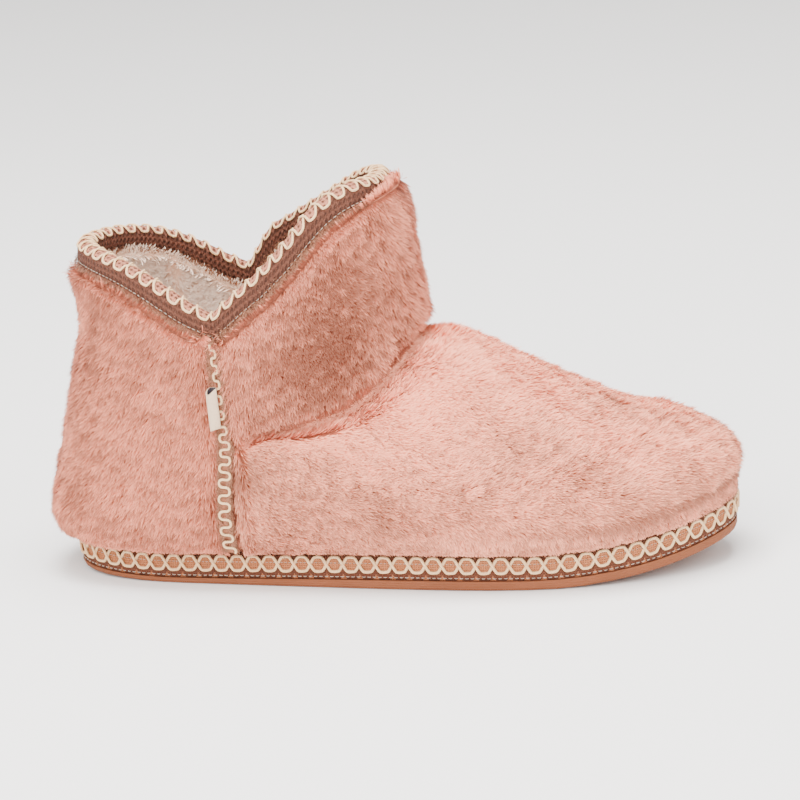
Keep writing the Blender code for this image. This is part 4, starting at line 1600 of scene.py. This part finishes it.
            # lighter up the vamp towards its top: painted light from above
            tone = tone - line - 0.50 * corner + 0.30 * step((row - 0.32) / 0.22)
            tone = tone + 0.08 * step((place.forward - 0.55) / 0.25) - 0.10 * (1 - step((row - 0.10) / 0.20))
        flow = flow * (1 - nap.hold * near) + np.array(nap.beside) * near
        ledge = step((row - self.LEDGE[0]) / 0.025)
        flow = flow * (1 - ledge)[:, None] + roots.up * ledge[:, None]
        edge = bell(row, *self.LEDGE)
        groove = bell(row, *self.GROOVE) * step(place.forward / 0.15)
        raised = 0.72 * edge + 0.40 * ledge * (1 - edge)
        return flow, tall, tone, np.maximum.reduce([upright, raised, 0.65 * groove])


@dataclass
class FleeceLining:
    """Fluffy lining that shows inside the collar, and the pile of the footbed."""

    form: SlipperForm
    columns: int = 500
    rows: int = 90
    hairs: int = 80000
    footbed_hairs: int = 12000
    style: StrandStyle = StrandStyle(
        height=0.0019, lay=0.0032, width=0.00050, lock_along=0.0044, lock_across=0.0034, gather=0.90,
        stray=0.70, seed=41, curl=0.0008, soft=0.88, lock_tone=0.30,
    )

    DEPTH = 0.0016

    def build(self) -> None:
        """Builds the lining's and the footbed's pile."""
        around = Columns.even(self.columns)
        lining = Surface(self.form.inside(around)[::-1]).refined(self.rows)
        skin = Surface(lining.points + lining.normals * self.DEPTH)
        high = np.linspace(0, 1, self.rows)[:, None]
        weight = (0.10 + 0.90 * step((high - 0.42) / 0.2)) * np.ones(self.columns)
        strands = Strands(self.style)
        roots = Roots.scattered(skin, weight, self.hairs, strands.rng)
        roots.normals *= -1
        points = roots.points
        rise = step((roots.row - 0.80) / 0.12)[:, None]
        flow = np.array([0.25, 0.0, -0.35]) * (1 - rise) + np.array([0.1, 0.0, 0.8]) * rise
        flow = flow + waves(points, 0.020, 51)[:, None] * np.array([0.8, 0.5, 0.5])
        flow = flow + np.cross(roots.normals, [0.0, 0.0, 1.0]) * waves(points, 0.013, 52)[:, None] * 0.8
        tone = 0.56 + 0.18 * waves(points, 0.010, 53)
        tall = (1 + 0.18 * waves(points, 0.012, 54)) * (0.70 + 0.30 * step((1 - roots.row) / 0.06))
        growth = strands.grow(roots, flow, tall, tone)
        hair_piece("lining_fleece", growth, FLEECE.material(), "upper")
        self.build_footbed()

    def build_footbed(self) -> None:
        """Pile standing on the insole."""
        form, columns, rows = self.form, 240, 40
        around = Columns.even(columns)
        inset = form.tape_thickness + 3 * form.clearance + form.foot_wall
        top = form.outsole_thickness + form.clearance + form.insole_thickness
        outer = form.on_sole(around, -inset - 0.3 * form.insole_thickness, top)
        spine = outer * (0.9, 0.0, 1.0)
        share = np.linspace(0, 1, rows)[:, None, None]
        disc = Surface(outer + (spine - outer) * share)
        strands = Strands(replace(self.style, height=0.0022, lay=0.0035, seed=42))
        roots = Roots.scattered(disc, np.ones((rows, columns)), self.footbed_hairs, strands.rng)
        roots.normals[:] = (0.0, 0.0, 1.0)
        points, count = roots.points, len(roots.points)
        flow = np.column_stack([waves(points, 0.02, 55), waves(points, 0.02, 56), np.zeros(count)])
        growth = strands.grow(roots, flow, np.ones(count), 0.55 + 0.1 * waves(points, 0.01, 57))
        hair_piece("footbed_pile", growth, bpy.data.materials[FLEECE.name])


@dataclass
class TapeTrack:
    """A tape's own surface: a closed run of cross-sections, read by the way along and the way across."""

    rows: Array
    across: Array
    period: float = 0.0064

    @property
    def along(self) -> Array:
        """Way along the tape of each column, from the middle row, with the whole length as its last."""
        middle = self.rows[len(self.rows) // 2]
        return way_along(np.concatenate([middle, middle[:1]]))

    @property
    def hexagons(self) -> int:
        """How many hexagons fit round the tape, an even number so that both yarns close."""
        return 2 * round(self.along[-1] / self.period / 2)

    def read(self, along: Array, across: Array, lift: Array | float) -> tuple[Array, Array]:
        """Points over the tape, and the normals there, by linear steps between its cross-sections.

        Args:
            along: Way along the tape, in metres.
            across: Way across it, in metres.
            lift: Height over it.

        Returns:
            Points and unit normals, each with the shape of along and a last axis of 3.
        """
        length = self.along
        columns = self.rows.shape[1]
        at = np.interp(np.mod(along, length[-1]), length, np.arange(columns + 1))
        c = np.minimum(at.astype(int), columns - 1)
        up = np.interp(across, self.across, np.arange(len(self.across)))
        r = np.clip(up.astype(int), 0, len(self.across) - 2)
        shares = ((up - r)[..., None], (at - c)[..., None])
        normal = unit(Surface.between(Surface(self.rows).evened(1), r, c, *shares))
        return Surface.between(self.rows, r, c, *shares) + normal * np.asarray(lift)[..., None], normal


class Yarn:
    """Round yarns and stitches: points, faces and map places of each."""

    SIDES = 6
    STEPS = 18
    STITCH_SIDES = 5
    STITCH_LEVELS = 4

    @staticmethod
    def circle(sides: int, dimensions: int) -> Three:
        """Cosine and sine round a circle, with the axes that follow, and its shares for the map.

        Args:
            sides: How many points it has.
            dimensions: How many axes follow the first.

        Returns:
            The cosines, the sines, and the shares from 0 to 1.
        """
        turn = (2 * np.pi * np.arange(sides) / sides).reshape(-1, *[1] * dimensions)
        return np.cos(turn), np.sin(turn), np.arange(sides + 1) / sides

    @classmethod
    def wave(cls, track: TapeTrack, reach: float, sign: float, radius: float) -> Three:
        """One of the two yarns of a net, as a closed tube over a tape.

        The yarn's way across is sign times reach times a held cosine, and its height rises and falls with
        the sine, so that the two yarns pass over and under each other.

        Args:
            track: The tape's surface.
            reach: Half of the net's width.
            sign: +1 or -1.
            radius: The yarn's radius.

        Returns:
            Points, faces and map places.
        """
        count = track.hexagons * cls.STEPS
        share = np.arange(count) / count
        phase = np.pi * track.hexagons * share
        across = sign * reach * (0.75 * np.clip(1.38 * np.cos(phase), -1, 1) + 0.25 * np.cos(phase))
        lift = radius * (0.75 + sign * 0.45 * np.sin(phase))
        centres, normals = track.read(share * track.along[-1], across, lift)
        ahead = unit(np.roll(centres, -1, axis=0) - np.roll(centres, 1, axis=0))
        sideways = unit(np.cross(ahead, normals))
        cosine, sine, around = cls.circle(cls.SIDES, 2)
        points = centres + radius * (cosine * sideways + 0.85 * sine * np.cross(sideways, ahead))
        chart = quad_map(way_along(np.concatenate([centres, centres[:1]])), pairs(around))
        return points.reshape(-1, 3), grid_faces(cls.SIDES, count, looped=True), chart

    @classmethod
    def length(cls, centres: Array, normals: Array, radius: float) -> Three:
        """Tube along an open line, drawn together at its two ends.

        Args:
            centres: Points of the line, (n, 3).
            normals: Unit normals there.
            radius: Radius.

        Returns:
            Points, faces and map places.
        """
        ahead = unit(np.gradient(centres, axis=0))
        sideways = unit(np.cross(ahead, normals))
        cosine, sine, around = cls.circle(cls.SIDES, 2)
        size = radius * np.ones((len(centres), 1))
        size[[0, -1]] = 0.02 * radius
        ring = centres + size * (cosine * sideways + sine * np.cross(sideways, ahead))
        points = np.moveaxis(ring, 0, 1)
        chart = quad_map(around, pairs(way_along(centres))).reshape(-1, 4, 2)[:, ::-1, ::-1]
        return points.reshape(-1, 3), grid_faces(len(centres), cls.SIDES)[:, ::-1], chart.reshape(-1, 2)

    @classmethod
    def stitches(cls, track: TapeTrack, across: float, long: float, gap: float, radius: float) -> Three:
        """A dashed line of stitches, each a bar that dips at its ends.

        Args:
            track: The tape's surface.
            across: Way across the tape.
            long: Length of a stitch.
            gap: Space between two.
            radius: Half its thickness.

        Returns:
            Points, faces and map places.
        """
        count = int(track.along[-1] / (long + gap))
        share = np.linspace(0, 1, cls.STITCH_LEVELS)
        along = (np.arange(count) * track.along[-1] / count)[:, None] + long * share[None, :]
        lift = radius * (1.5 * np.sin(np.pi * share) ** 0.5 - 0.6)
        centres, normals = track.read(along, np.full_like(along, across), np.broadcast_to(lift, along.shape))
        sideways = unit(np.cross(unit(np.gradient(centres, axis=1)), normals))
        cosine, sine, _ = cls.circle(cls.STITCH_SIDES, 3)
        points = np.moveaxis(centres + radius * (cosine * sideways + sine * normals), 0, 2)
        first = (np.arange(count) * cls.STITCH_LEVELS * cls.STITCH_SIDES)[:, None, None]
        faces = (first + grid_faces(cls.STITCH_LEVELS, cls.STITCH_SIDES)[None]).reshape(-1, 4)
        chart = np.tile([[0.0, 0.0], [0.001, 0.0], [0.001, 0.2], [0.0, 0.2]], (len(faces), 1))
        return points.reshape(-1, 3), faces, chart


def pairs(values: Array) -> Array:
    """Each value with the one after it, (n - 1, 2)."""
    return np.stack([values[:-1], values[1:]], axis=1)


def joined(parts: list[Three]) -> Three:
    """Several meshes as one.

    Args:
        parts: Points, faces and map places of each.

    Returns:
        The same three of them all.
    """
    points, faces, charts = zip(*parts)
    starts = np.cumsum([0] + [len(some) for some in points])
    faces = [some + start for some, start in zip(faces, starts)]
    return np.concatenate(points), np.concatenate(faces), np.concatenate(charts)


FIBRES = StrandStyle(
    height=0.0011, lay=0.0016, width=0.00022, lock_along=0.002, lock_across=0.0012, gather=0.35,
    stray=0.55, seed=71, uneven=0.35,
)


@dataclass
class WovenTapes:
    """The woven tapes of sole, collar and side seams, with their yarns, stitches and fuzz."""

    form: SlipperForm
    weave: bpy.types.NodeTree
    yarn_radius: float = 0.00060
    columns: int = 1000
    sole_net: float = 0.0028
    sole_net_drop: float = 0.0011
    sole_corner: float = 0.0005
    collar_net: float = 0.0042
    collar_yarn: float = 0.80
    seam_yarn: float = 0.85
    zigzag: float = 0.0060
    sway: float = 0.0021
    ripple: float = 0.0005
    strip_edge: float = 0.0022
    seam_fibres: int = 6000

    def build(self) -> None:
        """Builds the tapes one after the other."""
        cream, thread = CREAM.material(), THREAD.material()
        self.build_sole(cream, thread)
        self.build_collar(cream, thread)
        for name, side in (("lateral", -1.0), ("medial", 1.0)):
            self.build_side(name, side, cream)

    def cloth(self, name: str, node: str, track: TapeTrack, back: Array, finish: TapeFinish) -> None:
        """The tape's cloth in place of its plain solid: its face, and a back that closes it.

        Args:
            name: Name of the piece.
            node: The solid it stands for.
            track: The face.
            back: Rows that lead from the face's top back to its foot.
            finish: Its finish.
        """
        rows = np.concatenate([track.rows, back])
        across = np.concatenate([track.across, np.full(len(back), track.across[-1])])
        chart = quad_map(track.along, np.stack([across, np.roll(across, -1)], axis=1))
        shape = (rows.reshape(-1, 3), grid_faces(*rows.shape[:2], looped=True))
        material = finish.material(self.weave, track.along[-1] / track.hexagons)
        mesh_piece(name, shape, material, node, {TAPE_MAP: chart})

    def dress(self, name: str, parts: list[Three], material: Material) -> None:
        """Joins yarns or stitches into one piece."""
        points, faces, chart = joined(parts)
        mesh_piece(name, (points, faces), material, maps={TAPE_MAP: chart})

    def build_sole(self, cream: Material, thread: Material) -> None:
        """The tape round the sole: net of cream yarn, and two lines of stitches.

        Args:
            cream: The yarns' material.
            thread: The stitches' material.
        """
        form, around = self.form, Columns.even(self.columns)
        low = form.rim(around) + form.clearance
        height = form.sole_tape_height - form.clearance
        shares = np.linspace(0, 1, 7)
        outset = -self.sole_corner * np.clip(np.abs(2 * shares - 1) - 0.8, 0, None) / 0.2
        rows = [form.on_sole(around, out, low + share * height) for share, out in zip(shares, outset)]
        track = TapeTrack(np.array(rows), (shares - 0.5) * height - self.sole_net_drop)
        inner = [form.on_sole(around, -form.tape_thickness, low + share * height) for share in (1.0, 0.0)]
        self.cloth("sole_tape", "sole_trim", track, np.array(inner), SOLE_CLOTH)
        net = [Yarn.wave(track, self.sole_net, sign, self.yarn_radius) for sign in (1.0, -1.0)]
        self.dress("sole_tape_net", net, cream)
        lines = [(0.0005, 0.0008, 0.0007, 0.00013), (-0.0050, 0.0013, 0.0008, 0.00017)]
        self.dress("sole_tape_stitches", [Yarn.stitches(track, *line) for line in lines], thread)
        self.fuzz("sole_tape_fuzz", track, ((0.0041, 1.0, 17000),), 71)

    def build_collar(self, cream: Material, thread: Material) -> None:
        """The tape folded over the collar's edge: net over the fold, dark bands outside and inside.

        Args:
            cream: The yarns' material.
            thread: The stitches' material.
        """
        form, around = self.form, Columns.even(self.columns)
        near = 0.5 * form.collar_wall + form.clearance
        far = near + form.tape_thickness
        fold = -(0.75 * form.tape_thickness + form.clearance)
        bend, outside, inside = form.collar_tape_bend, form.collar_tape_outside, form.collar_tape_inside
        profile = np.array([
            (far, outside), (far, 4.2 * MM), (far, 2.8 * MM), (far, bend), (0.86 * far, 0.2 * fold),
            (0.55 * far, fold), (0.0, 1.12 * fold), (-0.55 * far, fold),
            (-0.86 * far, 0.2 * fold), (-far, bend), (-far, 3.2 * MM), (-far, inside),
        ])
        hidden = ((-near, inside), (-near, -form.clearance), (near, -form.clearance), (near, outside))
        run = way_along(profile)
        rows, back = (
            np.array([form.at_collar(around, outset, drop) for outset, drop in path])
            for path in (profile, hidden)
        )
        track = TapeTrack(rows, run - run[6])
        self.cloth("collar_tape", "collar_trim", track, back, COLLAR_CLOTH)
        outer, inner = track.across[[0, -1]]
        radius = self.collar_yarn * self.yarn_radius
        net = [Yarn.wave(track, self.collar_net, sign, radius) for sign in (1.0, -1.0)]
        self.dress("collar_tape_net", net, cream)
        line = Yarn.stitches(track, outer + 0.8 * MM, 1.3 * MM, 0.7 * MM, 0.16 * MM)
        self.dress("collar_tape_stitches", [line], thread)
        bands = ((outer + 0.3 * MM, -1.0, 5000), (inner - 0.3 * MM, 1.0, 8000))
        self.fuzz("collar_tape_fuzz", track, bands, 72)

    def build_side(self, name: str, side: float, cream: Material) -> None:
        """Keeps a side seam's strip and lays its cream zigzag over it: a sine that narrows upwards.

        Args:
            name: Outer or inner side, as the solid's name has it.
            side: -1 for the outer side, +1 for the inner side.
            cream: The yarn's material.
        """
        form = self.form
        repaint(f"side_trim_{name}", STRIP_CLOTH.shared())
        outside = Surface(form.outside(Columns.even(self.columns))[1:-1]).refined(260)
        column = self.columns // 4 if side < 0 else 3 * self.columns // 4
        line, normal = outside.points[:, column], outside.evened(2)[:, column]
        reached = way_along(line)
        share = np.linspace(0.01, 0.985, 700)
        at = share * reached[-1]
        middle, out = (
            np.stack([np.interp(at, reached, known[:, axis]) for axis in range(3)], axis=1)
            for known in (line, normal)
        )
        out = unit(out)
        up = unit(np.gradient(middle, axis=0))
        aside = np.cross(up, out) * -side
        turn = 2 * np.pi * at / self.zigzag
        sway = self.sway * (0.45 + 0.55 * step((0.80 - share) / 0.45)) * np.sin(turn)
        ripple = -self.ripple * np.sin(2 * turn)
        lift = form.clearance + form.seam_tape_thickness + 1.1 * self.yarn_radius
        centres = middle + aside * sway[:, None] + up * ripple[:, None] + out * lift
        yarn = Yarn.length(centres, out, self.seam_yarn * self.yarn_radius)
        self.dress(f"seam_zigzag_{name}", [yarn], cream)
        self.seam_fuzz(name, middle, out, aside, up)

    def seam_fuzz(self, name: str, line: Array, out: Array, aside: Array, up: Array) -> None:
        """Brown fibres along both edges of a side seam's strip.

        Args:
            name: Outer or inner side.
            line: Points up the seam's middle.
            out: Normals there.
            aside: Directions across the strip, towards the toe.
            up: Directions up the seam.
        """
        style = replace(FIBRES, height=0.0007, lay=0.0012, stray=0.7, seed=73 + len(name))
        strands, count = Strands(style), self.seam_fibres
        pick = strands.rng.integers(0, len(line), count)
        edge = np.where(strands.rng.random(count) < 0.62, 1.0, -1.0)
        offset = (edge * (self.strip_edge + 0.0004 * strands.rng.normal(size=count)))[:, None]
        lift = self.form.clearance + self.form.seam_tape_thickness
        zero = np.zeros(count)
        points = line[pick] + aside[pick] * offset + out[pick] * lift
        roots = Roots(points, out[pick], up[pick], zero, zero)
        growth = strands.grow(roots, -up[pick] - aside[pick] * edge[:, None] * 0.5, zero + 1, zero + 0.45)
        hair_piece(f"seam_fuzz_{name}", growth, FUZZ.shared())

    def fuzz(
        self, name: str, track: TapeTrack, bands: tuple[tuple[float, float, int], ...], seed: int
    ) -> None:
        """Short brown fibres along a tape's edges.

        Args:
            name: Name of the piece.
            track: The tape's face.
            bands: For each band its way across, which way it points and how many fibres it has.
            seed: Seed.
        """
        strands = Strands(replace(FIBRES, seed=seed))
        grown = []
        for across, way, count in bands:
            along = strands.rng.random(count) * track.along[-1]
            where = across + 0.0007 * strands.rng.normal(size=count)
            points, normals = track.read(along, where, 0.0)
            above, _ = track.read(along, where + 0.0004, 0.0)
            up = unit(above - points)
            grown.append((points, normals, up, up * way))
        points, normals, up, flow = (np.concatenate(some) for some in zip(*grown))
        zero = np.zeros(len(points))
        roots = Roots(points, normals, up, zero, zero)
        growth = strands.grow(roots, flow, zero + 1, 0.5 + 0.2 * strands.rng.normal(size=len(points)))
        hair_piece(name, growth, FUZZ.shared())


@dataclass
class TabLabel:
    """Bare ribbon folded in two and sewn into the outer side seam, its fold towards the heel."""

    form: SlipperForm
    bottom: float = 0.0662
    height: float = 0.0158
    length: float = 0.0043
    cloth: float = 0.00055
    opening: float = 0.0028
    dip: float = 0.0036
    droop: float = 0.0012
    rows: int = 12

    def build(self) -> None:
        """Builds the loop: a section path carried up the seam, with slanting ends."""
        form, count = self.form, 960
        outside = Surface(form.outside(Columns.even(count))[:-1]).refined(260)
        seam, behind = count // 4, count // 4 - 12
        lift = form.clearance + form.seam_tape_thickness
        line = outside.points[:, seam] + outside.evened(2)[:, seam] * lift
        heights = self.bottom + self.height * np.linspace(-0.15, 1.15, 60)
        root = self.at_heights(line, heights)
        back = (self.at_heights(outside.points[:, behind], heights) - root) * (1.0, 1.0, 0.0)
        back = unit(back.mean(axis=0))
        out = np.array([-back[1], back[0], 0.0])
        out = out if out[1] < 0 else -out
        bend = 0.5 * self.opening + self.cloth
        turn = np.radians(np.linspace(-90.0, 90.0, 11))
        paths = []
        for radius in (bend, bend - self.cloth):
            along = np.concatenate([[0.0, 0.33, 0.66], np.ones(11), [0.66, 0.33, 0.0]])
            along *= self.length - bend
            along[3:14] += radius * np.cos(turn)
            taper = np.concatenate([[0.15, 0.45, 0.80], np.ones(11), [0.80, 0.45, 0.15]])
            over = np.concatenate([-np.ones(3), np.sin(turn), np.ones(3)])
            off = form.clearance + bend + taper * radius * over
            near = np.concatenate([np.zeros(3), 0.5 + 0.5 * np.sin(turn), np.ones(3)])
            paths.append(np.stack([along, off, near], axis=1))
        section = np.concatenate([paths[0], paths[1][::-1]])
        share = np.linspace(0, 1, self.rows)[:, None]
        reach = section[None, :, 0] / self.length
        low = -self.droop * reach**2
        high = self.height - self.dip * reach * (0.1 + 0.9 * section[None, :, 2])
        level = self.bottom + low * (1 - share) + high * share
        foot = self.at_heights(line, level.ravel()).reshape(*level.shape, 3)
        grid = foot + back * section[None, :, 0, None] + out * section[None, :, 1, None]
        grid[:, :, 2] = level
        self.piece(grid, len(section))

    def piece(self, grid: Array, columns: int) -> None:
        """Makes the mesh: the section's loop up all rows, closed at both ends between its two paths.

        Args:
            grid: Points, (rows, columns, 3).
            columns: Points in the section's loop, half of them on the outer path.
        """
        sides = grid_faces(self.rows, columns)
        k = np.arange(columns // 2 - 1)
        cap = np.stack([k, columns - 1 - k, columns - 2 - k, k + 1], axis=1)
        top = (self.rows - 1) * columns + cap[:, ::-1]
        faces = np.concatenate([sides, cap, top])
        inner = (faces % columns >= columns // 2).all(axis=1)
        u = np.repeat(np.where(inner, 1.0, 0.0)[:, None], 4, axis=1)
        v = np.tile([0.0, 0.0, 1.0, 1.0], (len(faces), 1))
        uv = np.stack([u, v], axis=2).reshape(-1, 2)
        shape = (grid.reshape(-1, 3), faces)
        mesh_piece("tab_label_ribbon", shape, LABEL.material(), "tab_label", {TAPE_MAP: uv})

    @staticmethod
    def at_heights(line: Array, heights: Array) -> Array:
        """Points of a line that climbs the upper, at the given heights."""
        order = np.argsort(line[:, 2])
        return np.column_stack([np.interp(heights, line[order, 2], line[order, axis]) for axis in range(3)])


def repaint(node: str, material: Material) -> None:
    """Gives a solid that stays its finished material.

    Args:
        node: Name of the solid.
        material: Its material.
    """
    for slot in bpy.data.objects[node].material_slots:
        slot.material = material
    LOG.info("%s: repainted as %s", node, material.name)


@dataclass(frozen=True)
class Lamp:
    """A square soft light: name, place, side, watts and colour."""

    name: str
    place: Triple
    size: float
    power: float
    colour: Colour


@dataclass
class Studio:
    """Pale floor, soft lights and the camera at the photograph's angle."""

    azimuth: float = 8.0
    elevation: float = 15.0
    roll: float = -3.0
    distance: float = 1.400
    target: Triple = (0.0, 0.0, 0.063)
    lens: float = 163.8
    daylight: float = 0.85

    LAMPS = (
        Lamp("key", (-0.45, -1.45, 1.15), 1.5, 59.0, (1.0, 0.97, 0.94)),
        Lamp("fill", (1.20, -0.90, 0.80), 1.1, 14.0, (1.0, 0.96, 0.92)),
        Lamp("top", (0.00, -0.10, 1.70), 1.0, 66.0, (1.0, 0.98, 0.96)),
    )

    def build(self) -> None:
        """Builds camera, floor, lights and the world."""
        self.build_camera()
        self.build_floor()
        for lamp in self.LAMPS:
            self.light(lamp)
        world = bpy.data.worlds.new("studio")
        world.use_nodes = True
        background = world.node_tree.nodes["Background"]
        background.inputs[0].default_value = (1.0, 0.98, 0.96, 1.0)
        background.inputs[1].default_value = self.daylight
        bpy.context.scene.world = world

    def build_camera(self) -> None:
        """Camera turned about the target by azimuth and elevation, then rolled."""
        az, el, roll = np.radians([self.azimuth, self.elevation, self.roll])
        back = np.array([np.sin(az) * np.cos(el), -np.cos(az) * np.cos(el), np.sin(el)])
        level = np.array([np.cos(az), np.sin(az), 0.0])
        upright = np.cross(back, level)
        right = np.cos(roll) * level + np.sin(roll) * upright
        up = np.cos(roll) * upright - np.sin(roll) * level
        data = bpy.data.cameras.new("camera")
        data.lens, data.sensor_width = self.lens, 36.0
        data.clip_start, data.clip_end = 0.05, 20.0
        place = np.array(self.target) + back * self.distance
        bpy.context.scene.camera = self.placed("camera", data, (right, up, back), place)

    def build_floor(self) -> None:
        """A wide pale floor just under the sole."""
        half = 3.0
        corners = [(-half, -half, 0.0), (half, -half, 0.0), (half, half, 0.0), (-half, half, 0.0)]
        mesh = bpy.data.meshes.new("floor")
        mesh.from_pydata(corners, [], [(0, 1, 2, 3)])
        mesh.materials.append(FLOOR.material())
        floor = bpy.data.objects.new("floor", mesh)
        bpy.context.scene.collection.objects.link(floor)

    def light(self, lamp: Lamp) -> None:
        """A square area light that faces the shoe.

        Args:
            lamp: Its values.
        """
        data = bpy.data.lights.new(lamp.name, "AREA")
        data.size, data.energy, data.color = lamp.size, lamp.power, lamp.colour
        back = unit(np.array(lamp.place) - np.array(self.target))
        side = unit(np.cross([0.0, 0.0, 1.0], back))
        self.placed(lamp.name, data, (side, np.cross(back, side), back), np.array(lamp.place))

    @staticmethod
    def placed(name: str, data: bpy.types.ID, axes: Three, place: Array) -> bpy.types.Object:
        """A camera or a light, turned so that its own X, Y and Z lie along three axes.

        Args:
            name: Its name.
            data: The camera or light.
            axes: The three axes.
            place: Where it stands.

        Returns:
            The object.
        """
        made = bpy.data.objects.new(name, data)
        turned = np.column_stack(axes)
        made.matrix_world = Matrix([[*turned[k], place[k]] for k in range(3)] + [[0, 0, 0, 1]])
        bpy.context.scene.collection.objects.link(made)
        return made


def main() -> None:
    """Loads the frame, builds the pieces in order and reports them."""
    logging.basicConfig(level=logging.INFO, format="%(message)s")
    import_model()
    form = SlipperForm()
    Studio().build()
    FurUpper(form).build()
    FleeceLining(form).build()
    WovenTapes(form, weave_group()).build()
    repaint("outsole", SOLE.material())
    repaint("insole", FOOTBED.material())
    TabLabel(form).build()


if __name__ == "__main__":
    main()
